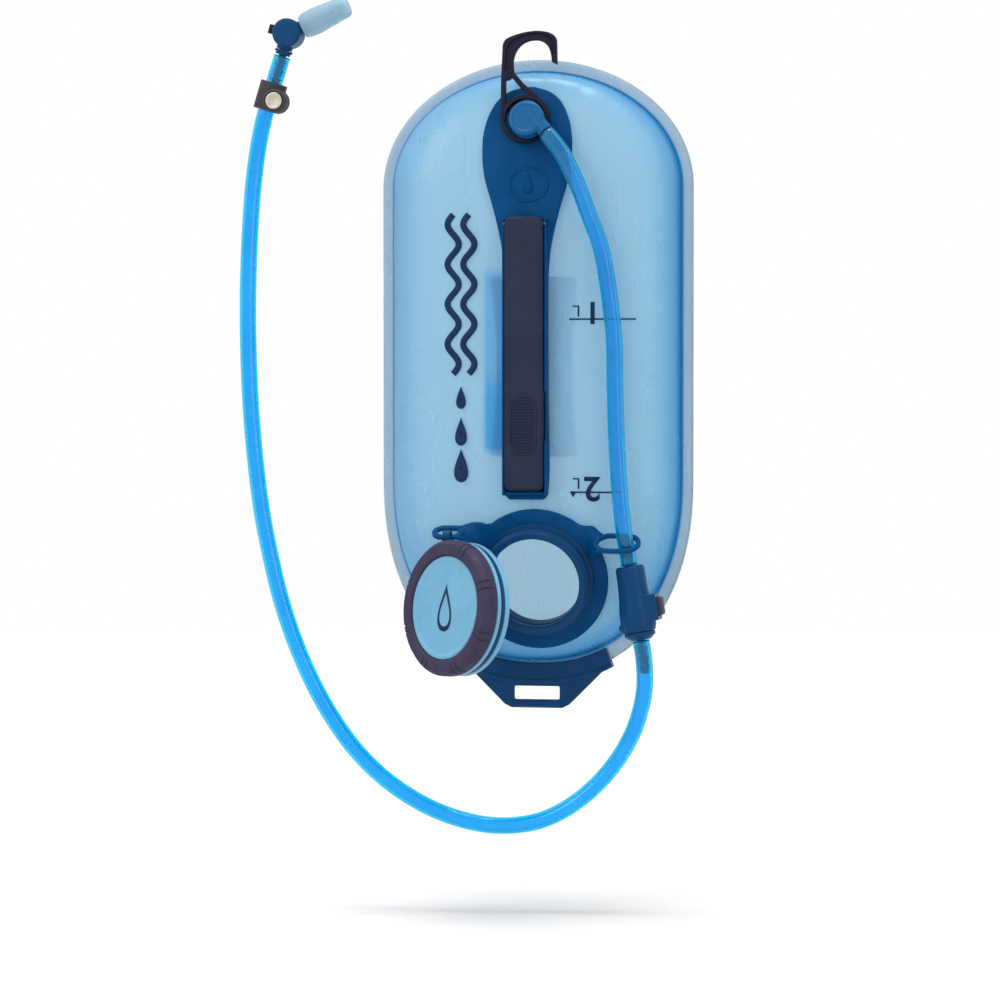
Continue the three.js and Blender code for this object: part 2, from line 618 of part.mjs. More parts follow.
// The free hose: down from the plug, round a wide bend and up to the clip and valve
const drinkRoute = [
  [62.1, -14, -333.4], [63.4, -14, -341.5], [64.2, -14, -351], [63.8, -14, -362], [61.5, -14, -373],
  [57.5, -14, -384.5], [51, -14.2, -396.5], [42.5, -14.4, -408], [31.5, -15, -419], [19, -15.6, -428],
  [6, -16.2, -434], [-8, -16.8, -436.8], [-22.5, -17.4, -437], [-37, -18, -434.5], [-53.5, -18.7, -429],
  [-70.5, -19.4, -420], [-86, -20, -408.5], [-100.5, -20.7, -393.5], [-113, -21.2, -376],
  [-123.5, -21.8, -357], [-133, -22.4, -335], [-140.5, -22.9, -312.5], [-146.5, -23.3, -288],
  [-151.5, -23.7, -262], [-155, -24, -234], [-157.5, -24.2, -204.5], [-158.8, -24.3, -173],
  [-159, -24.4, -143], [-158, -24.4, -112], [-156, -24.4, -83], [-153, -24.4, -60], [-149.8, -24.4, -44.5],
  [-146, -24.4, -31.5], [-142, -24.4, -18.4], [-139, -24.4, -8.9],
];

function makeHoses() {
  piece(part, 'upper_hose', hoseTube(upperRoute), look.hose);
  piece(part, 'drink_hose', hoseTube(drinkRoute), look.hose);
}

// Coupling between the two hoses: socket with a latch button, and the plug that pulls out of it
function makeCoupling() {
  const shell = spun([[3, 0], [7.1, 0], [8, -1.2], [8.2, -12], [8.7, -18], [9.7, -26], [9.9, -33],
    [8.9, -SOCKET_LENGTH], [4.6, -SOCKET_LENGTH], [4.6, -16], [3, -15]], 20);
  const house = box([4.9, 12.6], [-7.2, 7.2], [-31.5, -17]);
  const pocket = box([8.5, 13.6], [-5.6, 5.6], [-29.4, -19]);
  const slot = box([5.7, 13.6], [-3.2, 3.2], [-26.7, -21.7]);
  const nub = shifted(solid(new THREE.SphereGeometry(2.1, 10, 6)), -9.2, 0, -33.4);
  const bore = rod(4.6, -SOCKET_LENGTH - 1, -16, 20);
  const socket = cut(join(shell, cut(house, bore), cut(nub, bore)), pocket, slot);
  piece(coupling, 'coupling_socket', socket, look.plastic);
  const plate = box([10.8, 14.8], [-5.3, 5.3], [-29.1, -19.3]);
  const thumb = box([14.5, 15.2], [-4.5, 4.5], [-28.2, -20.2]);
  const tongue = box([8, 11], [-2.9, 2.9], [-26.4, -22]);
  piece(coupling, 'latch_button', join(plate, thumb, tongue), look.grip);
  const plug = spun([[2.4, -17], [3.9, -17], [4.3, -17.6], [4.3, -25], [3.5, -25.1], [3.5, -26.9], [4.3, -27],
    [4.3, -SOCKET_LENGTH - GAP], [8.6, -SOCKET_LENGTH - GAP], [8.6, -38.6], [5.6, -PLUG_LENGTH],
    [2.4, -PLUG_LENGTH]], 20);
  piece(coupling, 'coupling_plug', plug, look.plastic);
  const seal = new THREE.TorusGeometry(4.0, 0.38, 5, 14).translate(0, 0, -26);
  piece(coupling, 'plug_seal', solid(seal), look.seal);
}

// ---------- bottom bracket ----------

const BRACKET = { angle: 25.5, inner: 2, outer: [10.5, 14], tabBottom: -374.8, thick: 7.4 };

// A curved channel over the flange's lower edge, with a slotted tab for a strap
function makeBracket() {
  const arc = (side, bottom, reach = BRACKET.angle) => {
    const points = [];
    const steps = 10;
    for (let i = 0; i <= steps; i++) {
      const angle = (270 - reach + 2 * reach * i / steps) * DEG;
      points.push(bottomPoint(angle, side, bottom));
    }
    return points;
  };
  const half = BRACKET.thick / 2;
  const rail = polygon([...arc(BRACKET.inner, BRACKET.inner), ...arc(...BRACKET.outer).reverse()]);
  const past = BRACKET.angle + 4;
  const grooveEnd = arc(FLANGE.side + 2 * GAP, FLANGE.bottom + 2 * GAP, past).reverse();
  const groove = polygon([...arc(-6, -6, past), ...grooveEnd]);
  const tab = polygon([...arc(FLANGE.side + 1.5, FLANGE.bottom + 1.5), [18.5, -372.8],
    [14.5, BRACKET.tabBottom], [-14.5, BRACKET.tabBottom], [-18.5, -372.8]]);
  const slot = roundedRect(13, -370, -362.4, 0.8);
  const upright = (shape, reach) => turned(slab(shape, -reach, reach), 90, 0, 0);
  const lip = box([-13, 13], [-2.4, -1], [BRACKET.tabBottom + 0.8, -370.4]);
  const grooveHalf = GAP / 2 + FILM + GAP;
  piece(bag, 'bottom_bracket', cut(join(cut(upright(rail, half), upright(groove, grooveHalf)),
    upright(tab, 1.6), lip), upright(slot, 8)), look.plastic);
}

// ---------- clip and valve ----------

function makeClip() {
  clip.position.set(-145.9, -24.4, -31.3);
  clip.rotation.y = HOSE_END_TILT * DEG;
  part.updateMatrixWorld(true);
  const facing = (body) => turned(body, 90, 0, 0);
  const sleeve = tube(3, 7.6, -8, 8, 20);
  const pod = shifted(facing(rod(6.6, 0, 11.6, 20, 0.8)), 5.6, 0, -1.6);
  const bore = rod(HOSE_RADIUS + 2 * GAP, -12, 12, 20);
  const recess = shifted(facing(rod(5.1, 9.2, 14, 20)), 5.6, 0, -1.6);
  piece(clip, 'clip_body', cut(join(sleeve, pod), bore, recess), look.clip);
  piece(clip, 'clip_magnet', shifted(facing(rod(4.7, 9.5, 11.9, 20, 0.3)), 5.6, 0, -1.6), look.magnet);
}

const BITE_ANGLE = 24;

function makeValve() {
  valve.position.set(-138.1, -24.4, -6);
  valve.rotation.y = HOSE_END_TILT * DEG;
  part.updateMatrixWorld(true);
  const stem = spun([[2.2, -2.3], [4.2, -2.3], [4.2, -0.9], [5, -0.9], [5, 0.5], [2.9, 0.5], [2.9, 4.2],
    [2.2, 4.2]]);
  piece(valve, 'valve_stem', stem, look.plastic);
  const middle = 10;
  const facing = (body) => shifted(turned(body, 90, 0, 0), 0, 0, middle);
  const spoutward = (body) => shifted(turned(body, 0, 90 - BITE_ANGLE - HOSE_END_TILT, 0), 0, 0, middle);
  const drum = facing(rod(8.1, -6.4, 6.8, 24, 1));
  const cheek = facing(rod(7, 6, 7.4, 24, 0.3));
  const foot = rod(4.5, 0.8, middle, 16);
  const nozzle = spoutward(rod(4, 0, 13, 16, 0.4));
  const chamber = facing(rod(5.6, -8, 5, 20));
  const ways = [chamber, rod(3.2, 0, middle, 16), spoutward(rod(2.6, 0, 15, 12))];
  const housing = cut(join(drum, cheek, foot, nozzle), ...ways);
  piece(valve, 'valve_housing', housing, look.plastic);
  const rotor = facing(rod(5.2, -7.2, 4.7, 20));
  const waterway = rod(2.6, middle - 8, middle, 12);
  const turnWay = spoutward(rod(2.6, 0, 8, 12));
  const arm = shifted(box([-14, 3], [6.8, 8.9], [-2.6, 2.6]), 0, 0, middle);
  piece(valve, 'shutoff_lever', join(cut(rotor, waterway, turnWay), arm), look.hook);
  const mouth = spun([[5, 8.6], [6.3, 8.6], [7.2, 12], [7.4, 17], [6.8, 26], [6, 35.5], [5, 37.4], [0, 37.8],
    [0, 35.4], [3.6, 34], [4.2, 25], [4.9, 15]], 20);
  const flattened = moved(mouth, new THREE.Matrix4().makeScale(1, 0.86, 1));
  piece(valve, 'bite_valve', spoutward(flattened), look.silicone);
}

makeReservoir();
makeSpine();
makeOutlet();
makePort();
makeCap();
makeHoses();
makeCoupling();
makeBracket();
makeClip();
makeValve();

export default part;
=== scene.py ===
import json
import math

import bmesh
import bpy
from mathutils import Matrix, Vector, noise


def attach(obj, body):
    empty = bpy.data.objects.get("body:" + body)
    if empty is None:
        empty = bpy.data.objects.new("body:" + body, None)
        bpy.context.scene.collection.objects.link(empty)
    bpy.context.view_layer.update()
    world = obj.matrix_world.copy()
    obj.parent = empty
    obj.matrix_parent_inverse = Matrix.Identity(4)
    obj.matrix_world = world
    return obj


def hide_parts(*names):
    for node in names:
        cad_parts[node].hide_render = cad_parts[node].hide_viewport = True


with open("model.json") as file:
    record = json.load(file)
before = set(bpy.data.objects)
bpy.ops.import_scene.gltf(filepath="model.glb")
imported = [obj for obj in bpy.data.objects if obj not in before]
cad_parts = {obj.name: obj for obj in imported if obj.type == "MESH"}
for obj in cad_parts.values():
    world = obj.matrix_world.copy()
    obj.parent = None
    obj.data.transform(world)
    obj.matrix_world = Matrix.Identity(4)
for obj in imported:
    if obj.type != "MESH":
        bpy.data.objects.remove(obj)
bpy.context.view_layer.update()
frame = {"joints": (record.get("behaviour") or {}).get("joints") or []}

MM = 0.001
GAP = 0.3                       # clearance that neighbouring CAD pieces keep
JOINTS = {joint["name"]: joint for joint in frame["joints"]}

# ---------- frames of the sub-parts, in millimetres ----------


def turn(x=0, y=0, z=0):
    """A turn of z degrees about Z, then y about Y, then x about X."""
    about = [Matrix.Rotation(math.radians(angle), 4, axis) for angle, axis in ((x, "X"), (y, "Y"), (z, "Z"))]
    return about[0] @ about[1] @ about[2]


def at(x, y, z):
    return Matrix.Translation((x, y, z))


def pivot(joint):
    """Where a hinge sits, in millimetres."""
    return at(*[1000 * value for value in JOINTS[joint]["pos_m"]])


ROW = Matrix.Identity(4)
BAG_X, SEAM_Y = -3.4, 25.271    # the bag's centreline and its seam plane
BAG = at(BAG_X, SEAM_Y, 0)
OUTLET = at(-2.9, -2.035, -44.38) @ turn(x=77)
PORT = at(1.6, -1.269, -300) @ turn(x=103)
CAP = pivot("cap_spin") @ turn(z=-40) @ turn(x=84.5)
COUPLING = at(55.6, -14, -292.3) @ turn(y=-9)
CLIP = pivot("clip_turn") @ turn(y=17)
VALVE = pivot("valve_swivel") @ turn(y=17)

# ---------- solids ----------


def link(mesh, name="work"):
    thing = bpy.data.objects.new(name, mesh)
    bpy.context.scene.collection.objects.link(thing)
    return thing


def solid(verts, faces):
    """A closed mesh with doubled points merged and its faces turned outwards."""
    mesh = bpy.data.meshes.new("work")
    mesh.from_pydata([tuple(v) for v in verts], [], faces)
    bm = bmesh.new()
    bm.from_mesh(mesh)
    bmesh.ops.remove_doubles(bm, verts=bm.verts, dist=1e-3)
    bmesh.ops.dissolve_degenerate(bm, dist=1e-4, edges=bm.edges)
    bmesh.ops.recalc_face_normals(bm, faces=bm.faces)
    bm.to_mesh(mesh)
    bm.free()
    return link(mesh)


def skin(rings, closed=False):
    """A surface through rings of as many points each; closed joins the last ring to the first."""
    count = len(rings[0])
    faces = []
    for r in range(len(rings) if closed else len(rings) - 1):
        a, b = r * count, (r + 1) % len(rings) * count
        for i in range(count):
            j = (i + 1) % count
            faces.append((a + i, a + j, b + j, b + i))
    if not closed:
        faces += [tuple(range(count)), tuple(range((len(rings) - 1) * count, len(rings) * count))]
    return solid([point for ring in rings for point in ring], faces)


def lathe(profile, sides=96):
    """A closed list of (radius, z), spun about Z."""
    turns = [2 * math.pi * i / sides for i in range(sides)]
    return skin([[(r * math.cos(a), r * math.sin(a), z) for r, z in profile] for a in turns], closed=True)


def rod(radius, low, high, sides=64, chamfer=0.0):
    inset = radius - chamfer
    side = [(inset, low), (radius, low + chamfer), (radius, high - chamfer), (inset, high)]
    return lathe([(0, low), *side, (0, high)], sides)


def prism(outline, low, high):
    """A flat outline of (x, y), raised between two heights."""
    return skin([[(x, y, z) for x, y in outline] for z in (low, high)])


def upright(outline, back, front):
    """An outline of (x, z), as thick as from y = front to y = back."""
    return skin([[(x, y, z) for x, z in outline] for y in (back, front)])


def box(xs, ys, zs):
    return prism([(xs[0], ys[0]), (xs[1], ys[0]), (xs[1], ys[1]), (xs[0], ys[1])], *zs)


def moved(thing, matrix):
    thing.data.transform(matrix)
    return thing


def baked(thing):
    """Puts the modifiers' result into the mesh."""
    graph = bpy.context.evaluated_depsgraph_get()
    mesh = bpy.data.meshes.new_from_object(thing.evaluated_get(graph))
    thing.modifiers.clear()
    thing.data = mesh
    return thing


def boolean(thing, tool, operation):
    modifier = thing.modifiers.new("boolean", "BOOLEAN")
    modifier.operation, modifier.solver, modifier.object = operation, "EXACT", tool
    baked(thing)
    bpy.data.objects.remove(tool)
    return thing


def join(thing, *others):
    for other in others:
        boolean(thing, other, "UNION")
    return thing


def cut(thing, *tools):
    for tool in tools:
        boolean(thing, tool, "DIFFERENCE")
    return thing


def gathered(thing, *others):
    """The others' shells put into one mesh with the first."""
    bm = bmesh.new()
    for one in (thing, *others):
        bm.from_mesh(one.data)
    bm.to_mesh(thing.data)
    bm.free()
    for other in others:
        bpy.data.objects.remove(other)
    return thing


def moulded(thing, voxel, passes=4):
    """Remeshed finely and smoothed, so that every edge is as round as on a moulded part."""
    remesh = thing.modifiers.new("remesh", "REMESH")
    remesh.mode, remesh.voxel_size = "VOXEL", voxel
    smooth = thing.modifiers.new("smooth", "SMOOTH")
    smooth.factor, smooth.iterations = 0.5, passes
    return baked(thing)


def fillet(points, radius=0.4, steps=3):
    """A closed outline with its corners rounded; points on the axis stay."""
    rounded = []
    for i, corner in enumerate(points):
        before, here, after = Vector(points[i - 1]), Vector(corner), Vector(points[(i + 1) % len(points)])
        back, on = before - here, after - here
        reach = min(radius, 0.45 * back.length, 0.45 * on.length)
        if here.x == 0 or reach < 0.02:
            rounded.append(tuple(here))
            continue
        start, end = here + back.normalized() * reach, here + on.normalized() * reach
        for k in range(steps + 1):
            t = k / steps
            rounded.append(tuple(start * (1 - t) ** 2 + here * 2 * t * (1 - t) + end * t ** 2))
    return rounded


def rounded_rect(half_width, low, high, radius):
    corners = [(-half_width, low), (half_width, low), (half_width, high), (-half_width, high)]
    return fillet(corners, radius, 8)


def ellipse(half_width, half_height, count=48):
    turns = [2 * math.pi * i / count for i in range(count)]
    return [(half_width * math.cos(a), half_height * math.sin(a)) for a in turns]


def stadium(length, width, steps=14):
    reach, r = (length - width) / 2, width / 2
    arc = [math.pi * (i / steps - 0.5) for i in range(steps + 1)]
    right = [(reach + r * math.cos(a), r * math.sin(a)) for a in arc]
    return right + [(-x, -y) for x, y in right]


def bezier(*control, steps=10):
    """Points after the first one along a quadratic or cubic curve."""
    def blend(points, t):
        if len(points) == 1:
            return tuple(points[0])
        return blend([a.lerp(b, t) for a, b in zip(points, points[1:])], t)
    return [blend([Vector(c) for c in control], k / steps) for k in range(1, steps + 1)]


def band(points, width):
    """An outline of even width along a line of (x, y)."""
    left, right = [], []
    line = [Vector(p) for p in points]
    for i, point in enumerate(line):
        along = (line[min(i + 1, len(line) - 1)] - line[max(i - 1, 0)]).normalized()
        side = Vector((-along.y, along.x)) * width / 2
        left.append(tuple(point + side))
        right.append(tuple(point - side))
    return left + right[::-1]


def smooth_line(points, spacing):
    """Points at an even spacing along the centripetal curve through a route."""
    line = [Vector(p) for p in points]
    line = [2 * line[0] - line[1], *line, 2 * line[-1] - line[-2]]
    out = []
    for a, b, c, d in zip(line, line[1:], line[2:], line[3:]):
        t = [0.0]
        for p, q in ((a, b), (b, c), (c, d)):
            t.append(t[-1] + math.sqrt((q - p).length))
        steps = max(1, round((c - b).length / spacing))
        for k in range(steps):
            u = t[1] + (t[2] - t[1]) * k / steps
            ab = a.lerp(b, (u - t[0]) / (t[1] - t[0]))
            bc = b.lerp(c, (u - t[1]) / (t[2] - t[1]))
            cd = c.lerp(d, (u - t[2]) / (t[3] - t[2]))
            abc = ab.lerp(bc, (u - t[0]) / (t[2] - t[0]))
            bcd = bc.lerp(cd, (u - t[1]) / (t[3] - t[1]))
            out.append(abc.lerp(bcd, (u - t[1]) / (t[2] - t[1])))
    return out + [line[-2]]


def section_rings(line, section):
    """A section of (a, b) carried along a line without twist."""
    rings = []
    tangent = (line[1] - line[0]).normalized()
    side = tangent.orthogonal().normalized()
    for i, point in enumerate(line):
        ahead = (line[min(i + 1, len(line) - 1)] - line[max(i - 1, 0)]).normalized()
        side = (tangent.rotation_difference(ahead) @ side).normalized()
        tangent = ahead
        across = tangent.cross(side)
        shape = section(i) if callable(section) else section
        rings.append([point + side * a + across * b for a, b in shape])
    return rings


def sweep(line, section):
    return skin(section_rings(line, section))


def pipe(line, outer, inner, sides=40):
    """A hollow tube along a line."""
    outside = section_rings(line, ellipse(outer, outer, sides))
    inside = section_rings(line, ellipse(inner, inner, sides))
    return skin(outside + inside[::-1], closed=True)


def rib(line, thick, thin):
    """A raised bar along a line, thinner at its two ends."""
    last = len(line) - 1
    return sweep(line, lambda k: ellipse(*[thin if k in (0, last) else thick] * 2, 10))


BARB_RADIUS, BARB_CORE = 3.05, 2.2


def barbs(line, count, pitch):
    """A stem inside a hose, with a row of barbs that each swell towards the line's end."""
    def section(i):
        swell = (BARB_RADIUS - BARB_CORE) * (i % pitch) / pitch if i < count * pitch else 0
        r = BARB_CORE + swell
        return ellipse(r, r, 28)
    return sweep(line, section)


# ---------- materials ----------


def shader(name):
    material = bpy.data.materials.new(name)
    material.use_nodes = True
    tree = material.node_tree
    return material, tree, tree.nodes["Principled BSDF"]


def node(tree, kind, settings=(), **inputs):
    made = tree.nodes.new(kind)
    for key, value in dict(settings).items():
        setattr(made, key, value)
    for key, value in inputs.items():
        made.inputs[key.replace("_", " ")].default_value = value
    return made


def noise_of(tree, scale, detail=3.0, stretch=(1, 1, 1)):
    """A noise in the part's own metres; scale is in waves per metre."""
    place = node(tree, "ShaderNodeTexCoord")
    mapping = node(tree, "ShaderNodeMapping")
    mapping.inputs["Scale"].default_value = stretch
    texture = node(tree, "ShaderNodeTexNoise", Scale=scale, Detail=detail, Roughness=0.55)
    tree.links.new(place.outputs["Object"], mapping.inputs["Vector"])
    tree.links.new(mapping.outputs["Vector"], texture.inputs["Vector"])
    return texture.outputs["Fac"]


def ramp(tree, value, stops):
    made = node(tree, "ShaderNodeValToRGB")
    elements = made.color_ramp.elements
    while len(elements) < len(stops):
        elements.new(0.5)
    for element, (position, colour) in zip(elements, stops):
        element.position = position
        element.color = (*colour, 1)
    tree.links.new(value, made.inputs["Fac"])
    return made.outputs["Color"]


def ranged(tree, value, low, high):
    made = node(tree, "ShaderNodeMapRange", From_Min=0.3, From_Max=0.7, To_Min=low, To_Max=high)
    tree.links.new(value, made.inputs["Value"])
    return made.outputs["Result"]


def bumped(tree, bsdf, value, strength, distance):
    bump = node(tree, "ShaderNodeBump", Strength=strength, Distance=distance)
    tree.links.new(value, bump.inputs["Height"])
    tree.links.new(bump.outputs["Normal"], bsdf.inputs["Normal"])


def moulded_plastic(name, colour, roughness=0.4, grain=2200, depth=0.35, sheen=0.15):
    """Injection-moulded plastic: faint tone changes, a fine grain and uneven polish."""
    material, tree, bsdf = shader(name)
    light = [min(1, c * 1.08 + 0.001) for c in colour]
    dark = [c * 0.93 for c in colour]
    tone = ramp(tree, noise_of(tree, 55), [(0.35, dark), (0.65, light)])
    tree.links.new(tone, bsdf.inputs["Base Color"])
    polish = ranged(tree, noise_of(tree, 160, 4), roughness * 0.85, roughness * 1.2)
    tree.links.new(polish, bsdf.inputs["Roughness"])
    bumped(tree, bsdf, noise_of(tree, grain, 2), depth, 0.00004)
    bsdf.inputs["Specular IOR Level"].default_value = sheen
    return material


def clear_plastic(name, colours, transmission, roughness, ior, grain=(90, 0.3, 0.0003), sheen=0.5):
    """See-through plastic with soft waves in its surface; colours are the ramp from noise."""
    material, tree, bsdf = shader(name)
    tone = ramp(tree, noise_of(tree, 30), [(0.3, colours[0]), (0.7, colours[1])])
    tree.links.new(tone, bsdf.inputs["Base Color"])
    polish = ranged(tree, noise_of(tree, 70), roughness * 0.7, roughness * 1.4)
    tree.links.new(polish, bsdf.inputs["Roughness"])
    bsdf.inputs["Transmission Weight"].default_value = transmission
    bsdf.inputs["IOR"].default_value = ior
    bsdf.inputs["Specular IOR Level"].default_value = sheen
    scale, strength, distance = grain
    bumped(tree, bsdf, noise_of(tree, scale, 2), strength, distance)
    return material


def film_material():
    """Clear blue film: pale over the faces, with a painted deep blue down the side walls and along the weld
    that stands in for the shade of film seen edge-on.
    """
    material, tree, bsdf = shader("film")
    edge = node(tree, "ShaderNodeAttribute", {"attribute_name": "edge"})
    tone = ramp(tree, edge.outputs["Fac"], FILM_TONES_WITH_EDGE_SHADE)
    # painted: a stronger blue over the baffle's left edge stands in for the lit baffle seen through the film
    painted_baffle_light = node(tree, "ShaderNodeAttribute", {"attribute_name": "painted_baffle_light"})
    mix = node(tree, "ShaderNodeMix", {"data_type": "RGBA"})
    tree.links.new(painted_baffle_light.outputs["Fac"], mix.inputs[0])
    tree.links.new(tone, mix.inputs[6])
    mix.inputs[7].default_value = (*BAFFLE_SEEN_THROUGH_PAINT, 1)
    tree.links.new(mix.outputs[2], bsdf.inputs["Base Color"])
    polish = ranged(tree, noise_of(tree, 35, 3, (1, 1, 0.3)), 0.22, 0.40)
    tree.links.new(polish, bsdf.inputs["Roughness"])
    bsdf.inputs["Transmission Weight"].default_value = 0.72
    bsdf.inputs["IOR"].default_value = 1.3
    bsdf.inputs["Specular IOR Level"].default_value = 0.25
    bumped(tree, bsdf, noise_of(tree, 22, 1, (1.6, 1, 0.45)), 0.25, 0.0010)
    return material


def metal(name, colour, roughness):
    material, tree, bsdf = shader(name)
    tone = ramp(tree, noise_of(tree, 600), [(0.3, [c * 0.85 for c in colour]), (0.7, colour)])
    tree.links.new(tone, bsdf.inputs["Base Color"])
    polish = ranged(tree, noise_of(tree, 900), roughness * 0.8, roughness * 1.3)
    tree.links.new(polish, bsdf.inputs["Roughness"])
    bsdf.inputs["Metallic"].default_value = 1.0
    bumped(tree, bsdf, noise_of(tree, 1500), 0.3, 0.00003)
    return material


# the painted blue laid on the front film where the lit baffle shows through it
BAFFLE_SEEN_THROUGH_PAINT = (0.04, 0.47, 0.86)
RATIO_SPAN = 1.12               # the film's edge value is its ratio to the seam over this
# The film's colour along its edge value: pale over the faces, then painted shade, a deep blue down the side
# walls and along the weld for film seen edge-on, then the pale weld.
FILM_TONES_WITH_EDGE_SHADE = [(0.0, (0.53, 0.76, 0.89)), (0.66, (0.50, 0.75, 0.89)), (0.80, (0.40, 0.70, 0.88)),
              (0.872, (0.17, 0.54, 0.84)), (0.893, (0.01, 0.36, 0.72)), (0.903, (0.03, 0.40, 0.74)),
              (0.912, (0.58, 0.74, 0.86)), (1.0, (0.64, 0.77, 0.87))]

LOOK = {
    "film": film_material(),
    "baffle": moulded_plastic("baffle", (0.0, 0.68, 0.93), 0.4, 300, 0.3),
    "blue": moulded_plastic("blue", (0.0, 0.040, 0.125), 0.34, sheen=0.12),
    "matte_blue": moulded_plastic("matte_blue", (0.0, 0.050, 0.160), 0.5, depth=0.6, sheen=0.06),
    "disc": moulded_plastic("disc", (0.0, 0.080, 0.215), 0.33, sheen=0.2),
    "lever": moulded_plastic("lever", (0.012, 0.018, 0.042), 0.5, depth=0.5),
    "hook": moulded_plastic("hook", (0.005, 0.004, 0.016), 0.45, depth=0.4),
    "grip": moulded_plastic("grip", (0.036, 0.030, 0.062), 0.62, grain=1500, depth=0.8),
    "cap": moulded_plastic("cap", (0.130, 0.330, 0.49), 0.34, sheen=0.25),
    "clip": moulded_plastic("clip", (0.040, 0.037, 0.042), 0.6, depth=0.7),
    "seal": moulded_plastic("seal", (0.30, 0.34, 0.38), 0.7),
    "ink": moulded_plastic("ink", (0.004, 0.020, 0.070), 0.5),
    "hose": clear_plastic("hose", [(0.0, 0.58, 0.97), (0.01, 0.64, 0.99)], 0.9, 0.05, 1.42,
                          (40, 0.1, 0.0002), 0.1),
    "silicone": clear_plastic("silicone", [(0.34, 0.55, 0.68), (0.42, 0.62, 0.73)], 0.6, 0.35, 1.38),
    "magnet": metal("magnet", (0.50, 0.47, 0.40), 0.35),
    "steel": metal("steel", (0.10, 0.11, 0.14), 0.5),
}


def piece(thing, name, place, body, nodes, look, faceted=False):
    """Puts a finished shape into the row frame, in metres, on its body."""
    thing.name = thing.data.name = name
    thing.data.transform(Matrix.Scale(MM, 4) @ place)
    thing.data.shade_smooth()
    if faceted:
        thing.data.set_sharp_from_angle(angle=math.radians(40))
        thing.modifiers.new("normals", "WEIGHTED_NORMAL").keep_sharp = True
    thing.data.materials.clear()
    thing.data.materials.append(LOOK[look])
    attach(thing, body)
    if nodes:
        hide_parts(*nodes)
    return thing


# ---------- camera, floor and lights ----------


def make_camera():
    """Level with the bag's middle, a little to its right."""
    azimuth, elevation, distance = math.radians(11), math.radians(1.5), 2.0
    target = Vector((-0.020, 0, -0.2565))
    seen_width = 0.56               # metres across the picture at the target
    back = Vector((math.sin(azimuth) * math.cos(elevation), -math.cos(azimuth) * math.cos(elevation),
                   math.sin(elevation)))
    camera = bpy.data.objects.new("camera", bpy.data.cameras.new("camera"))
    camera.data.sensor_width = 36
    camera.data.lens = 36 * distance / seen_width
    camera.location = target + back * distance
    camera.rotation_euler = (-back).to_track_quat("-Z", "Y").to_euler()
    bpy.context.scene.collection.objects.link(camera)
    bpy.context.scene.camera = camera


def make_stage():
    top, bottom, radius = -486, -490, 2600
    floor = lathe([(0, bottom), (radius, bottom), (radius, top), (0, top)])
    floor.data.transform(Matrix.Scale(MM, 4))
    floor.name = "floor"
    material, tree, bsdf = shader("floor")
    tone = ramp(tree, noise_of(tree, 4), [(0.3, (0.61, 0.61, 0.61)), (0.7, (0.63, 0.63, 0.63))])
    tree.links.new(tone, bsdf.inputs["Base Color"])
    bsdf.inputs["Roughness"].default_value = 1.0
    bsdf.inputs["Specular IOR Level"].default_value = 0.0
    floor.data.materials.append(material)


def softbox(name, place, aim, size, power):
    light = bpy.data.objects.new(name, bpy.data.lights.new(name, "AREA"))
    light.data.shape, light.data.size, light.data.energy = "SQUARE", size, power
    light.location = place
    light.rotation_euler = (Vector(aim) - Vector(place)).to_track_quat("-Z", "Y").to_euler()
    bpy.context.scene.collection.objects.link(light)


def make_lights():
    middle = (0, 0, -0.22)
    softbox("key", (-1.1, -1.5, 0.7), middle, 0.9, 9)
    softbox("fill", (1.4, -1.2, 0.2), middle, 0.9, 4)
    overhead = bpy.data.objects.new("overhead", bpy.data.lights.new("overhead", "SUN"))
    overhead.data.energy, overhead.data.angle = 2.3, math.radians(30)
    overhead.rotation_euler = (0, math.radians(-2), 0)
    bpy.context.scene.collection.objects.link(overhead)
    world = bpy.data.worlds.new("studio")
    world.use_nodes = True
    world.node_tree.nodes["Background"].inputs["Color"].default_value = (1, 1, 1, 1)
    world.node_tree.nodes["Background"].inputs["Strength"].default_value = 1.0
    bpy.context.scene.world = world
    bpy.context.scene.view_settings.view_transform = "Standard"


# ---------- hoses ----------

HOSE_RADIUS, HOSE_BORE = 4.7, 3.1
UPPER_ROUTE = [
    (9.6, -18.9, -53), (13.8, -19.3, -58), (18.4, -18.9, -64.3), (25, -18, -77.5), (29.5, -17.2, -88.5),
    (33.5, -16.6, -99.5), (38, -16.2, -111), (41, -16, -122), (43, -15.6, -133.5),
    (45, -15.2, -148), (47, -15, -167), (47.5, -15, -189.5), (48, -15, -211.5), (49, -15, -234),
    (50.5, -15.3, -254), (52, -16.1, -268), (53.1, -16.3, -276), (54.1, -14.7, -283), (55.5, -14, -291.8),
]
DRINK_ROUTE = [
    (62.1, -14, -333.4), (63.4, -14, -341.5), (64.2, -14, -351), (63.8, -14, -362), (61.5, -14, -373),
    (57.5, -14, -384.5), (51, -14.2, -396.5), (42.5, -14.4, -408), (31.5, -15, -419), (19, -15.6, -428),
    (6, -16.2, -434), (-8, -16.8, -436.8), (-22.5, -17.4, -437), (-37, -18, -434.5), (-53.5, -18.7, -429),
    (-70.5, -19.4, -420), (-86, -20, -408.5), (-100.5, -20.7, -393.5), (-113, -21.2, -376),
    (-123.5, -21.8, -357), (-133, -22.4, -335), (-140.5, -22.9, -312.5), (-146.5, -23.3, -288),
    (-151.5, -23.7, -262), (-155, -24, -234), (-157.5, -24.2, -204.5), (-158.8, -24.3, -173),
    (-159, -24.4, -143), (-158, -24.4, -112), (-156, -24.4, -83), (-153, -24.4, -60), (-149.8, -24.4, -44.5),
    (-146, -24.4, -31.5), (-142, -24.4, -18.4), (-139, -24.4, -8.9),
]
UPPER_LINE = smooth_line(UPPER_ROUTE, 2)
DRINK_LINE = smooth_line(DRINK_ROUTE, 2)
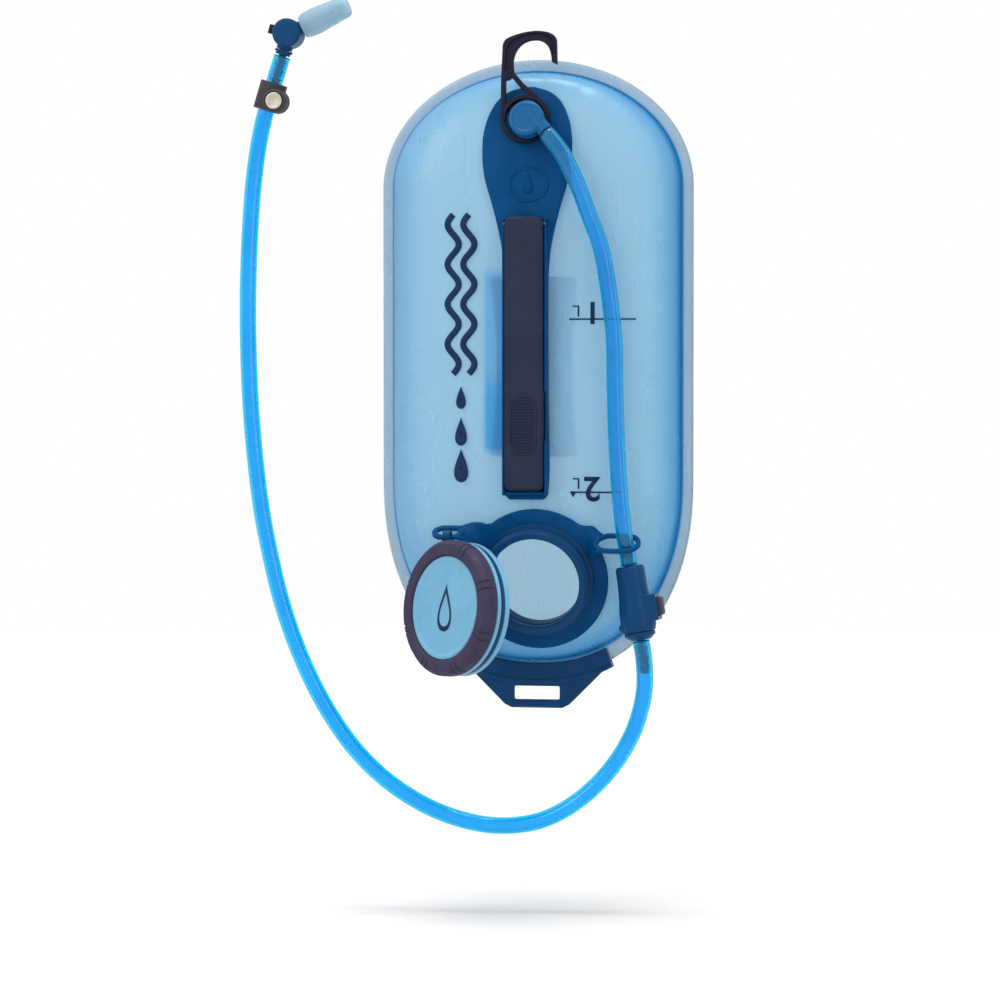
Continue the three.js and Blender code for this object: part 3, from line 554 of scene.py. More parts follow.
UPPER_FINE = smooth_line(UPPER_ROUTE, 0.5)
DRINK_FINE = smooth_line(DRINK_ROUTE, 0.5)


def make_hose(name, line, body, node_name):
    return piece(pipe(line, HOSE_RADIUS, HOSE_BORE), name, ROW, body, [node_name], "hose")


def declare_hose(line):
    path = [point * MM for point in line]
    length = sum((b - a).length for a, b in zip(path, path[1:]))
    tuple(path[0])
    [tuple(p) for p in path]


# ---------- the bag's surface ----------

FILM = 0.8
OUTLET_HOLE, PORT_HOLE = 6.2, 29.9
TOP_Z, TOP_HEIGHT = -80.6, 64.6
BOTTOM_Z, BOTTOM_HEIGHT, BOTTOM_POWER = -245, 102, 2.25
SEAM_HALF_WIDTH = 82
FRONT_CROWN, BACK_CROWN = 34, 13
CROWN_Z = -170


def edge_ratio(x, z):
    """0 on the centreline and 1 on the seam."""
    if z > TOP_Z:
        return math.hypot(x / SEAM_HALF_WIDTH, (z - TOP_Z) / TOP_HEIGHT)
    if z > BOTTOM_Z:
        return abs(x) / SEAM_HALF_WIDTH
    across = abs(x / SEAM_HALF_WIDTH) ** BOTTOM_POWER
    return (across + abs((z - BOTTOM_Z) / BOTTOM_HEIGHT) ** BOTTOM_POWER) ** (1 / BOTTOM_POWER)


def bulge(x, z, crown):
    """Depth of a face: gently crowned, with a steep, rounded side wall."""
    ratio = min(edge_ratio(x, z), 1)
    if ratio > 0.9999:
        return 0
    face = crown * (1 - 0.6 * ((z - CROWN_Z) / 165) ** 4)
    wall = crown * 1.06 * math.sqrt(1 - ratio ** 4)
    return (face ** -6 + wall ** -6) ** (-1 / 6)


def face_y(x, z):
    """The front film's outer surface, from the seam plane."""
    return -(GAP / 2 + 1 + bulge(x, z, FRONT_CROWN))


def smoothstep(low, high, value):
    t = min(max((value - low) / (high - low), 0), 1)
    return t * t * (3 - 2 * t)


def dent(x, z, crown):
    """How far the film is pressed in: long soft creases, and puckers that run in from the weld."""
    ratio = max(edge_ratio(x, z), 0.001)
    core = min(max(z, BOTTOM_Z), TOP_Z)
    crease = noise.noise(Vector((x * 0.045, z * 0.012, crown))) + 0.45 * noise.noise(
        Vector((x * 0.1, z * 0.035, crown + 9)))
    pucker = noise.noise(Vector((x / ratio * 0.14, (core + (z - core) / ratio) * 0.14, crown + 4)))
    window = smoothstep(0.66, 0.92, ratio) * (1 - smoothstep(0.95, 1, ratio))
    soft = [0.5 * (n + math.sqrt(n * n + 0.06)) for n in (crease, pucker)]
    return 1.3 * soft[0] * (1 - smoothstep(0.88, 1, ratio)) + 2.2 * soft[1] * window


def bottom_point(angle, side, bottom):
    def bend(value):
        return math.copysign(abs(value) ** (2 / BOTTOM_POWER), value)
    x = (SEAM_HALF_WIDTH + side) * bend(math.cos(angle))
    return x, BOTTOM_Z + (BOTTOM_HEIGHT + bottom) * bend(math.sin(angle))


def seam_outline(grow=0.0):
    """The seam, or the rim of the weld at grow = 1."""
    side, top, bottom = 7 * grow, 7.2 * grow, 10 * grow
    arc, run = 60, 36
    half = SEAM_HALF_WIDTH + side
    points = []
    for i in range(arc + 1):
        angle = math.pi * i / arc
        points.append((half * math.cos(angle), TOP_Z + (TOP_HEIGHT + top) * math.sin(angle)))
    points += [(-half, TOP_Z + (BOTTOM_Z - TOP_Z) * i / run) for i in range(1, run)]
    points += [bottom_point(math.pi * (1 + i / arc), side, bottom) for i in range(arc + 1)]
    points += [(half, BOTTOM_Z + (TOP_Z - BOTTOM_Z) * i / run) for i in range(1, run)]
    return points


def film_shell(sign, crown):
    """One face of the bag with its half of the weld, a film thick all over."""
    seam = seam_outline()
    ratios = [0.9 * i / 26 for i in range(27)]
    ratios += [0.9 + 0.1 * math.sin(math.pi * i / 24) for i in range(1, 13)]
    near, far = GAP / 2, GAP / 2 + FILM
    outer, inner = [], []
    for ratio in ratios:
        outside, inside = [], []
        for x, z in seam:
            core = min(max(z, BOTTOM_Z), TOP_Z)
            px, pz = x * ratio, core + (z - core) * ratio
            depth = max(bulge(px, pz, crown) - dent(px, pz, crown), 0) if ratio < 1 else 0
            shrink = 1 - 1.25 * FILM / SEAM_HALF_WIDTH
            outside.append((px, sign * (far + depth), pz))
            inside.append((px * shrink, sign * (near + max(depth - FILM, 0)), core + (pz - core) * shrink))
        outer.append(outside)
        inner.append(inside)
    rims = [seam_outline(grow) for grow in (0.05, 0.35, 0.7, 0.97, 1)]
    weld = [[(x, sign * far, z) for x, z in rim] for rim in rims]
    weld[-1] = [(x, sign * (far - 0.3), z) for x, z in rims[-1]]
    weld += [[(x, sign * near, z) for x, z in rim] for rim in (rims[-1], rims[0])]
    return skin(outer + weld + inner[::-1])


def mark_edge_shade(thing):
    """Stores each point's ratio to the seam, which the film's colour follows; the deep blue towards the seam
    is painted shade of film seen edge-on.
    """
    ratios = [edge_ratio(v.co.x, v.co.z) / RATIO_SPAN for v in thing.data.vertices]
    thing.data.attributes.new("edge", "FLOAT", "POINT").data.foreach_set("value", ratios)
    return thing


def mark_painted_baffle_view(thing):
    """Stores where the front film takes a painted stronger blue over the left edge of the baffle, standing in
    for the lit baffle seen through the film.
    """
    strength = []
    for v in thing.data.vertices:
        across = smoothstep(-26, -22.5, v.co.x) * (1 - smoothstep(-11, -8, v.co.x))
        along = smoothstep(-232, -227, v.co.z) * (1 - smoothstep(-132, -125, v.co.z))
        strength.append(across * along * (0.85 - 0.3 * smoothstep(-200, -180, v.co.z)))
    thing.data.attributes.new("painted_baffle_light", "FLOAT", "POINT").data.foreach_set("value", strength)
    return thing


def hole_in(target, source, radius, low=-15, high=15):
    """A cutter along a sub-part's axis, seen from another frame."""
    return moved(rod(radius, low, high, 96), target.inverted() @ source)


def make_bag():
    front = cut(film_shell(-1, FRONT_CROWN), hole_in(BAG, OUTLET, OUTLET_HOLE), hole_in(BAG, PORT, PORT_HOLE))
    piece(mark_painted_baffle_view(mark_edge_shade(front)), "front_film", BAG, "root", ["front_shell"], "film")
    piece(mark_edge_shade(film_shell(1, BACK_CROWN)), "back_film", BAG, "root", ["back_shell"], "film")
    piece(baffle(), "baffle_sleeve", BAG, "root", ["centre_baffle"], "baffle")


def baffle():
    """The sleeve that ties the faces together, drawn in at its waist."""
    front = face_y(0, CROWN_Z) + 2.6
    back = bulge(0, CROWN_Z, BACK_CROWN) - 1.6
    low, high, steps = -232, -132, 30
    walls = []
    for shrink in (0, 0.9):
        rings = []
        for i in range(steps + 1):
            waist = 1 - 0.16 * math.sin(math.pi * i / steps)
            shape = rounded_rect((22 - shrink) * waist, front + shrink, back - shrink, 5)
            rings.append([(x, y, low + (high - low) * i / steps) for x, y in shape])
        walls.append(rings)
    return skin(walls[0] + walls[1][::-1], closed=True)


# ---------- spine plate and lever ----------

PLATE_BACK, PLATE_FRONT = GAP, GAP + 3
PADDLE = [(-26, 3), (-29, 12), (-34, 17.8), (-42, 22.2), (-52, 24.8), (-62, 25.3), (-76, 24), (-90, 20),
          (-103, 16.5), (-118, 13.6), (-134, 12.5), (-194, 12.5), (-250, 12.5), (-254.5, 11.2), (-256, 9.5)]
LEVER_BACK = face_y(0, CROWN_Z) - GAP - 3.4
LEVER_FRONT = LEVER_BACK - 7.6
PIN_Y, PIN_Z = LEVER_BACK - 3.8, -103


def plate():
    """The plate that follows the front film, rounded at its top and narrow below."""
    columns = 28
    rings = []
    for z, half in [tuple(p.xy) for p in smooth_line([(z, w, 0) for z, w in PADDLE], 2.5)]:
        xs = [half * (2 * i / columns - 1) for i in range(columns + 1)]
        back = [(x, face_y(x, z) - PLATE_BACK, z) for x in xs]
        front = [(x, face_y(x, z) - PLATE_FRONT, z) for x in reversed(xs)]
        rings.append(back + front)
    return skin(rings)


def on_plate(line, lift):
    return [Vector((x, face_y(x, z) - PLATE_FRONT - lift, z)) for x, z in line]


DROP = [(0.62 * math.sin(a) * math.sin(a / 2) ** 1.6, math.cos(a)) for a in
        [2 * math.pi * i / 40 for i in range(20)]]
DROP = [(0.0, 1.0), *DROP[1:], (0.0, -1.0), *[(-x, z) for x, z in DROP[:0:-1]]]


def pin_hole():
    """A cutter for the hinge pin's bore."""
    return moved(rod(1.6, -20, 20), at(0, PIN_Y, PIN_Z) @ turn(y=90))


def make_spine():
    inner, outer, foot_z = 11.2, 12.5, -253.6
    wall_back, wall_front = LEVER_BACK + 2.4, LEVER_BACK - 5.2
    walls = [box(xs, (wall_front, wall_back), (foot_z, -100)) for xs in ((inner, outer), (-outer, -inner))]
    foot = box((-outer, outer), (LEVER_BACK - 2.5, wall_back), (foot_z, -251.3))
    notch = box((9.8, 13), (wall_front - 1, wall_front + 2.4), (-223, -196))
    spine = join(plate(), *walls, foot)
    spine = moulded(cut(spine, hole_in(BAG, OUTLET, OUTLET_HOLE, -10, 12), pin_hole(), notch), 0.5)
    ring = [(x + 1.2, z - 81) for x, z in ellipse(10.8, 9.1, 64)]
    badge = skin(section_rings(on_plate(ring + ring[:1], 0.0), ellipse(0.75, 0.75, 12)))
    drop = [(5.6 * x + 1.2, 6 * z - 80.4) for x, z in DROP]
    emblem = skin([on_plate(drop, -0.5), on_plate(drop, 0.45)])
    piece(gathered(spine, badge, emblem), "spine", BAG, "root", ["spine_plate"], "matte_blue")
    pin = lathe(fillet([(0, -12.2), (1.3, -12.2), (1.3, 12.2), (0, 12.2)], 0.25), 32)
    piece(pin, "hinge_pin", BAG @ at(0, PIN_Y, PIN_Z) @ turn(y=90), "root", ["lever_pin"], "steel",
          faceted=True)
    make_lever()


PAD_LOW, PAD_HIGH, PAD_CORNER = -231, -198.5, 6.4


def make_lever():
    bar = upright(rounded_rect(10.9, -251, -99, 4), LEVER_BACK, LEVER_FRONT + 0.8)
    face = upright(rounded_rect(10.0, -250.1, -99.9, 3.4), LEVER_FRONT + 1.2, LEVER_FRONT)
    hollow = upright(rounded_rect(7.9, -247, -113, 2), LEVER_BACK + 1, LEVER_BACK - 3.4)
    relief = box((-20, 20), (PIN_Y + 1.9, PIN_Y + 9), (PIN_Z + 1.8, PIN_Z + 9))
    lever = moulded(cut(join(bar, face), hollow, relief, pin_hole()), 0.42)
    edge = [Vector((x, LEVER_FRONT, z)) for x, z in rounded_rect(7, PAD_LOW, PAD_HIGH, PAD_CORNER)]
    ribs = [sweep(edge + edge[:1], ellipse(0.5, 0.5, 12))]
    count, low, high = 18, -229.2, -200.3
    for i in range(count):
        z = low + (high - low) * i / (count - 1)
        end = min(z - PAD_LOW, PAD_HIGH - z)
        half = 6.0 * math.sqrt(1 - max(0, 1 - end / PAD_CORNER) ** 2)
        ribs.append(rib([Vector((half * (2 * k / 8 - 1), LEVER_FRONT, z)) for k in range(9)], 0.55, 0.25))
    piece(gathered(lever, *ribs), "lever", BAG, "lever", ["clip_lever"], "lever")


# ---------- outlet, elbow and hook ----------

HOOK_LOW, HOOK_HIGH = 6.4, 9.6
SPOUT = {"place": at(9.7, -8.6, 14.5) @ turn(z=-50.5) @ turn(y=90), "radius": 4.3}


def make_outlet():
    under, over = HOOK_LOW - GAP, HOOK_HIGH + GAP
    socket = lathe(fillet([(4.2, -9), (5.8, -9), (5.8, 3.6), (11, 3.9), (11, under), (8.5, under),
                           (8.5, over), (4.2, over)]))
    piece(socket, "outlet_neck", OUTLET, "root", ["outlet_socket"], "blue", faceted=True)
    seal = lathe([(3.62 + x, 1 + z) for x, z in ellipse(0.42, 0.42, 14)], 48)
    piece(seal, "outlet_ring", OUTLET, "root", ["outlet_seal"], "seal")
    piece(elbow(), "swivel_elbow", OUTLET, "root", ["elbow"], "disc")
    piece(hook(), "hook", OUTLET, "hook", ["drying_hook"], "hook")


def elbow():
    spigot = lathe([(0, -8), (3.9, -8), (3.9, 0.4), (3.0, 0.5), (3.0, 1.5), (3.9, 1.6), (3.9, 12), (0, 12)])
    low = HOOK_HIGH + 2 * GAP
    side = [(9.6, low), (9.9, low + 0.4), (9.9, 17.2), (9.2, 18.4), (7.9, 18.9), (7.4, 18.5), (0, 18.6)]
    head = moved(lathe([(0, low), *side]), at(1.4, -4.6, 0))
    spout = moved(rod(SPOUT["radius"], -6, 4), SPOUT["place"])
    body = moulded(join(spigot, head, spout), 0.24, 3)
    back = OUTLET.inverted()
    inside = [back @ p for p in UPPER_FINE[28::-1]]
    start = inside[-1] + (inside[-1] - inside[-2]).normalized() * 2
    return gathered(body, barbs([*inside, start], 2, 13))


def hook():
    """An oval eye, two legs, and an open arch over the seat with a groove down each face."""
    def shifted(outline):
        return [(x - 2.5, y) for x, y in outline]

    ring = [(11.4, HOOK_LOW), (13.9, HOOK_LOW), (13.9, HOOK_HIGH), (11.4, HOOK_HIGH)]
    eye = moved(lathe(ring), at(-0.8, -2.2, 0))
    left_leg = prism(band([(-13.2, -3), (-13.6, 10), (-14, 23)], 2.7), HOOK_LOW, HOOK_HIGH)
    slant_leg = prism(band([(-10.1, 25), (-3.2, 16.8), (4.9, 9.8)], 2.9), HOOK_LOW, HOOK_HIGH)
    arch = shifted([
        (-12.8, 20.5), (-12.8, 40), *bezier((-12.8, 40), (-12.4, 43.6), (-9.7, 44.9), steps=5),
        *bezier((-9.7, 44.9), (-2.5, 48.2), (5.4, 48.6)), *bezier((5.4, 48.6), (15.5, 48.6), (17.7, 43.7)),
        (18.6, 29.3), (15.4, 30.7), *bezier((15.4, 30.7), (14.9, 38), (12, 43.7), (5.4, 43.7)),
        *bezier((5.4, 43.7), (-3.5, 43.7), (-6.6, 36), (-6.3, 30)),
        *bezier((-6.3, 30), (-6.1, 26), (-4.9, 23.5)), (-8.6, 20.5)])
    web = shifted([
        (-9.6, 25), (-9.6, 37), *bezier((-9.6, 37), (-8.5, 42.5), (-2, 44.7)),
        *bezier((-2, 44.7), (5.4, 47.4), (11.6, 45.1)), *bezier((11.6, 45.1), (16.6, 42.5), (16.8, 34))])
    grooves = [prism(band(web, 2), low, high) for low, high in
               ((HOOK_LOW - 1, HOOK_LOW + 0.9), (HOOK_HIGH - 0.9, HOOK_HIGH + 1))]
    arch = prism(arch, HOOK_LOW, HOOK_HIGH)
    return moulded(cut(join(eye, left_leg, slant_leg, arch), *grooves), 0.24, 3)


# ---------- fill port ----------

EAR_TILT, EAR_ROOT = 72, 29
HOSE_EAR = {"x": 47.2, "y": 22.8, "z": 9.3, "length": 21.4, "width": 12.9, "band": 2.6, "thick": 2.4}
STRAP_EAR = {"x": -48.5, "y": 27.6, "z": 6.2, "length": 12, "width": 6, "band": 3.1, "thick": 2.2}
FLANGE_LOW, FLANGE_HIGH = 0.5, 2.7
NECK_RADIUS, NECK_BORE = 29, 25.2


def ear_loop(ear):
    """A slotted loop turned forward off the flange, and its slot's cutter."""
    place = at(ear["x"], ear["y"], ear["z"]) @ turn(x=-EAR_TILT)
    outer = stadium(ear["length"] + 2 * ear["band"], ear["width"] + 2 * ear["band"])
    half = ear["thick"] / 2
    loop = moved(prism(outer, -half, half), place)
    return loop, moved(prism(stadium(ear["length"], ear["width"]), -6 * half, 6 * half), place)


def ear_arm(ear, root_y, far):
    """A flat arm that leaves the flange level and twists forward into a loop, ending at x = far."""
    rings, steps = [], 24
    near = math.copysign(EAR_ROOT, ear["x"])
    for i in range(steps + 1):
        ease = smoothstep(0, steps, i)
        angle = -math.radians(EAR_TILT) * ease
        half = 8.5 + (ear["width"] / 2 + ear["band"] - 8.5) * ease
        thick = 1.1 + (ear["thick"] / 2 - 1.1) * ease
        y, z = root_y + (ear["y"] - root_y) * ease, 1.7 + (ear["z"] - 1.7) * ease
        corners = [(-half, -thick), (half, -thick), (half, thick), (-half, thick)]
        rings.append([(near + (far - near) * i / steps, y + v * math.cos(angle) - n * math.sin(angle),
                       z + v * math.sin(angle) + n * math.cos(angle)) for v, n in corners])
    return skin(rings)


def make_port():
    plate = lathe([(0, FLANGE_LOW), (39.8, FLANGE_LOW), (40.3, FLANGE_LOW + 0.5), (40.3, FLANGE_HIGH - 0.5),
                   (39.8, FLANGE_HIGH), (0, FLANGE_HIGH)], 160)
    shoulders = prism([(-32, 15), (-30, -2), (30, -2), (32, 14), (33, 30.5), (27, 31), (0, 36), (-27, 31.5),
                       (-33, 32)], FLANGE_LOW + 0.02, FLANGE_HIGH - 0.02)
    right_loop, right_slot = ear_loop(HOSE_EAR)
    left_loop, left_slot = ear_loop(STRAP_EAR)
    arms = [ear_arm(HOSE_EAR, 22.3, 38), ear_arm(STRAP_EAR, 23.8, -43)]
    flange = join(plate, shoulders, *arms, right_loop, left_loop)
    flange = moulded(cut(flange, right_slot, left_slot, rod(NECK_RADIUS + 0.6, -2, 30, 160)), 0.42)
    piece(flange, "port_collar", PORT, "root", ["port_flange"], "matte_blue")
    base, ridge, top = FLANGE_HIGH + GAP, NECK_RADIUS + 1.3, 12
    neck = [(NECK_BORE, -3.5), (NECK_RADIUS, -3.5), (NECK_RADIUS, base), (32.3, base), (32.3, base + 0.9),
            (NECK_RADIUS, base + 1.6), (NECK_RADIUS, 6.2), (ridge, 6.7), (ridge, 7.3), (NECK_RADIUS, 7.8),
            (NECK_RADIUS, 9), (ridge, 9.5), (ridge, 10.1), (NECK_RADIUS, 10.6), (NECK_RADIUS, top),
            (NECK_BORE + 0.4, top), (NECK_BORE, top - 1.6), (NECK_BORE + 0.5, 6), (NECK_BORE, 5.2)]
    piece(lathe(fillet(neck, 0.6, 4), 160), "port_ring", PORT, "root", ["port_neck"], "blue",
          faceted=True)


# ---------- cap and tether ----------


def make_cap():
    piece(cap_grip(), "cap_grip_ring", CAP, "cap", ["cap_grip"], "grip", faceted=True)
    body = fillet([(0, 3.4), (31.4, 3.4), (31.4, -8.6), (36.8, -8.6), (36.8, -5.6), (33, -5.4), (33, -2.8),
                   (37, -2.6), (37, -0.1), (34.2, 0), (34.2, 5.7), (28.5, 5.7), (28.5, 7.6), (27.8, 8),
                   (26.6, 8), (25.2, 7.3), (0, 7.3)], 0.5)
    cap = lathe(body, 160)
    threads = [lathe([(31.5, z - 0.7), (30.6, z - 0.2), (30.6, z + 0.2), (31.5, z + 0.7)], 160)
               for z in (-5, -1.6)]
    piece(gathered(cap, *threads), "cap_shell", CAP, "cap", ["cap_body"], "cap", faceted=True)
    outer = prism([(14 * x, 13 * y) for x, y in DROP], 7.2, 7.5)
    emblem = cut(outer, prism([(10.6 * x, 9.6 * y - 0.7) for x, y in DROP], 7, 8))
    piece(emblem, "cap_print", CAP, "cap", [], "ink")
    gasket = lathe(fillet([(24.5, 1.2), (31, 1.2), (31, 3.1), (24.5, 3.1)], 0.5), 120)
    piece(gasket, "cap_washer", CAP, "cap", ["cap_gasket"], "seal", faceted=True)
    piece(tether(), "cap_strap", ROW, "tether", ["cap_tether"], "blue")


def cap_grip():
    """The grip ring, with eight pairs of shallow grooves across it."""
    profile = fillet([(28.8, 6), (28.8, 8), (30, 9), (35.2, 9), (37.5, 6.4), (37.5, 1), (36.6, 0.3),
                      (34.5, 0.3), (34.5, 6)], 0.5)
    centres = [22.5 + 45 * i + side * 3.3 for i in range(8) for side in (-1, 1)]
    angles = sorted({3.0 * i for i in range(120)} | {(c + d) % 360 for c in centres for d in
                                                      (-1.1, -0.75, -0.4, 0, 0.4, 0.75, 1.1)})
    rings = []
    for angle in angles:
        off = min(abs((angle - c + 180) % 360 - 180) for c in centres)
        depth = 0.85 * (1 - smoothstep(0.5, 1.05, off))
        turn_by = math.radians(angle)
        ring = []
        for r, z in profile:
            if z > 4.4 and r > 32:
                r, z = r - depth * smoothstep(35, 37.5, r), z - depth * smoothstep(7.6, 8.6, z)
            ring.append((r * math.cos(turn_by), r * math.sin(turn_by), z))
        rings.append(ring)
    return skin(rings, closed=True)


def tether():
    """The ring in the cap's groove, and the strap doubled round the left ear's lower band."""
    ring = moved(lathe([(33.6, -5.1), (36.7, -5.1), (36.7, -3.1), (33.6, -3.1)], 120), CAP)
    swing = Vector(JOINTS["tether_swing"]["pos_m"]) * 1000
    loop = moved(lathe([(2.6, -2.2), (3.9, -2.2), (3.9, 2.2), (2.6, 2.2)], 48), at(*swing) @ turn(y=90))
    rim, outside = CAP @ Vector((-23.2, 27.5, -4.1)), CAP @ Vector((-25.5, 30.2, -4.1))
    start = swing + Vector((0, -2.6, -2.6))
    bend = start.lerp(outside, 0.5) + Vector((0, 0, -0.5))
    flat = [(-0.6, -0.95), (0.6, -0.95), (0.6, 0.95), (-0.6, 0.95)]
    tail = sweep(smooth_line([start, bend, outside, rim], 1), flat)
    return moulded(gathered(ring, loop, tail), 0.24, 2)


# ---------- quick disconnect ----------


def make_coupling():
    shell = lathe([(3, 0), (7.1, 0), (8, -1.2), (8.2, -12), (8.7, -18), (9.7, -26), (9.9, -33), (8.9, -36.5),
                   (4.6, -36.5), (4.6, -16), (3, -15)])
    house = cut(box((4.9, 12.6), (-7.2, 7.2), (-31.5, -17)), rod(4.6, -37.5, -14))
    pocket = box((8.5, 13.6), (-5.6, 5.6), (-29.4, -19))
    slot = box((5.7, 13.6), (-3.2, 3.2), (-26.7, -21.7))
    half_turn = [math.pi * i / 12 for i in range(13)]
    ball = lathe([(2.1 * math.sin(a), 2.1 * math.cos(a)) for a in half_turn], 32)
    nub = cut(moved(ball, at(-9.2, 0, -33.4)), rod(4.6, -40, -14))
    socket = moulded(cut(join(shell, house, nub), pocket, slot), 0.26, 3)
    upper_end = [COUPLING.inverted() @ p for p in UPPER_FINE[-36:]] + [Vector((0, 0, -1))]
    piece(gathered(socket, barbs(upper_end, 3, 9)), "quick_socket", COUPLING, "root",
          ["coupling_socket"], "blue")
    plate = box((10.8, 14.8), (-5.3, 5.3), (-29.1, -19.3))
    thumb = box((14.5, 15.2), (-4.5, 4.5), (-28.2, -20.2))
    tongue = box((8, 11), (-2.9, 2.9), (-26.4, -22))
    button = moulded(join(plate, thumb, tongue), 0.2, 4)
    ridges = [rib([Vector((15.1, -3.6 + 7.2 * k / 6, z)) for k in range(7)], 0.3, 0.12)
              for z in (-26.8, -25, -23.2, -21.4)]
    piece(gathered(button, *ridges), "release_button", COUPLING, "button", ["latch_button"], "grip")
    make_plug()


def make_plug():
    profile = [(2.4, -17), (3.9, -17), (4.3, -17.6), (4.3, -25), (3.5, -25.1), (3.5, -26.9), (4.3, -27),
               (4.3, -36.8), (8.6, -36.8), (8.6, -38.6), (5.6, -41.2), (2.4, -41.2)]
    plug = lathe(fillet(profile, 0.3))
    lower_end = [COUPLING.inverted() @ p for p in DRINK_FINE[36::-1]] + [Vector((0, 0, -40))]
    plug = gathered(plug, barbs(lower_end, 3, 10))
    piece(plug, "quick_plug", COUPLING, "drink_line", ["coupling_plug"], "blue", faceted=True)
    seal = lathe([(4.0 + x, -26 + z) for x, z in ellipse(0.38, 0.38, 14)], 48)
    piece(seal, "quick_seal", COUPLING, "drink_line", ["plug_seal"], "seal")


# ---------- bottom bracket ----------


def make_bracket():
    """A curved channel over the weld's lower edge, with a slotted tab for a strap."""
    def arc(side, bottom, reach=25.5, steps=40):
        angles = [math.radians(270 - reach + 2 * reach * i / steps) for i in range(steps + 1)]
        return [bottom_point(angle, side, bottom) for angle in angles]

    rail = upright(arc(2, 2) + arc(10.5, 14)[::-1], 3.7, -3.7)
    groove = upright(arc(-6, -6, 29.5) + arc(7.6, 10.6, 29.5)[::-1], 1.45, -1.45)
    tab_end = [(18.5, -372.8), (14.5, -374.8), (-14.5, -374.8), (-18.5, -372.8)]
    tab = upright(arc(8.5, 11.5) + tab_end, 1.6, -1.6)
    lip = box((-13, 13), (-2.4, -1), (-374, -370.4))
    slot = upright(rounded_rect(13, -370, -362.4, 0.8), 8, -8)
    body = moulded(cut(join(cut(rail, groove), tab, lip), slot), 0.4, 3)
    ridge_line = [Vector((x, -3.6, z + 2.2)) for x, z in arc(10.5, 14, 24.5)]
    ridge = sweep(ridge_line, ellipse(0.45, 0.45, 12))
    piece(gathered(body, ridge), "strap_bracket", BAG, "root", ["bottom_bracket"], "blue")


# ---------- clip and valve ----------


def make_clip():
    facing = at(5.6, 0, -1.6) @ turn(x=90)
    sleeve = lathe([(5.3, -8), (7.6, -8), (7.6, 8), (5.3, 8)])
    pod = moved(rod(6.6, 0, 11.6, 96, 0.8), facing)
    tools = [rod(5.3, -12, 12), moved(rod(5.1, 9.2, 14, 96), facing), box((-9, -4.2), (-2.2, 2.2), (-10, 10))]
    body = moulded(cut(join(sleeve, pod), *tools), 0.26, 3)
    piece(body, "hose_clip", CLIP, "clip", ["clip_body"], "clip")
    face = fillet([(0, 9.5), (4.7, 9.5), (4.7, 11.9), (3.4, 11.9), (3.1, 11.6), (0, 11.6)], 0.3)
    piece(lathe(face), "clip_disc", CLIP @ facing, "clip", ["clip_magnet"], "magnet", faceted=True)


def make_valve():
    middle = 10
    facing = at(0, 0, middle) @ turn(x=90)
    spoutward = at(0, 0, middle) @ turn(y=49)
    stem = lathe(fillet([(2.2, -2.3), (4.2, -2.3), (4.2, -0.9), (5, -0.9), (5, 0.5), (2.9, 0.5), (2.9, 4.2),
                         (2.2, 4.2)], 0.2))
    tail = [VALVE.inverted() @ p for p in DRINK_FINE[-36:]] + [Vector((0, 0, -1.5))]
    piece(gathered(stem, barbs(tail, 3, 10)), "valve_spigot", VALVE, "drink_line", ["valve_stem"],
          "blue", faceted=True)
    drum = moved(lathe(fillet([(0, -6.4), (8.1, -6.4), (8.1, 6.8), (0, 6.8)], 1.2, 4)), facing)
    cheek = moved(lathe(fillet([(0, 6), (7, 6), (7, 7.4), (0, 7.4)], 0.4)), facing)
    foot, nozzle = rod(4.5, 0.8, middle), moved(rod(4, 0, 13, 64, 0.4), spoutward)
    ways = [moved(rod(5.6, -8, 5), facing), rod(3.2, 0, middle), moved(rod(2.6, 0, 15), spoutward)]
    housing = cut(join(drum, cheek, foot, nozzle), *ways)
    piece(housing, "valve_drum", VALVE, "valve", ["valve_housing"], "blue", faceted=True)
    rotor = moved(rod(5.2, -7.2, 4.7), facing)
    arm = moved(box((-14, 3), (6.8, 8.9), (-2.6, 2.6)), at(0, 0, middle))
    ways = [rod(2.6, middle - 8, middle), moved(rod(2.6, 0, 8), spoutward)]
    piece(moulded(join(cut(rotor, *ways), arm), 0.24, 4), "shutoff_arm", VALVE, "shutoff", ["shutoff_lever"],
          "hook")
    mouth = fillet([(5, 8.6), (6.3, 8.6), (7.2, 12), (7.4, 17), (6.8, 26), (6, 35.5), (5, 37.4), (0, 37.8),
                    (0, 35.4), (3.6, 34), (4.2, 25), (4.9, 15)], 1.0, 4)
    bite = moved(lathe(mouth), Matrix.Diagonal((1, 0.86, 1, 1)))
    piece(moved(bite, spoutward), "bite_piece", VALVE, "valve", ["bite_valve"], "silicone")


# ---------- printing ----------


def printed(points, faces):
    """Ink laid on the front film: a thin sheet that follows its surface."""
    mesh = bpy.data.meshes.new("work")
    mesh.from_pydata([(x, face_y(x, z) - 0.1, z) for x, z in points], [], faces)
    return link(mesh)


def ink_strip(line, width, count=1):
    """A strip of even width; count is how many cells it has across."""
    edges = band(line, width)
    half = len(line)
    left, right = edges[:half], edges[half:][::-1]
    points = []
    for a, b in zip(left, right):
        points += [tuple(Vector(a).lerp(Vector(b), k / count)) for k in range(count + 1)]
    row = count + 1
    faces = [(i * row + k, i * row + k + 1, (i + 1) * row + k + 1, (i + 1) * row + k)
             for i in range(half - 1) for k in range(count)]
    return printed(points, faces)


def ink_shape(outline, centre):
    """A star-shaped blot, filled in rings from its centre."""
    shares = (0.02, 0.35, 0.7, 1)
    c = Vector(centre)
    points = [tuple(c.lerp(Vector(p), share)) for share in shares for p in outline]
    n = len(outline)
    faces = [(r * n + i, r * n + (i + 1) % n, (r + 1) * n + (i + 1) % n, (r + 1) * n + i)
             for r in range(len(shares) - 1) for i in range(n)]
    return printed(points, faces + [tuple(range(n))])


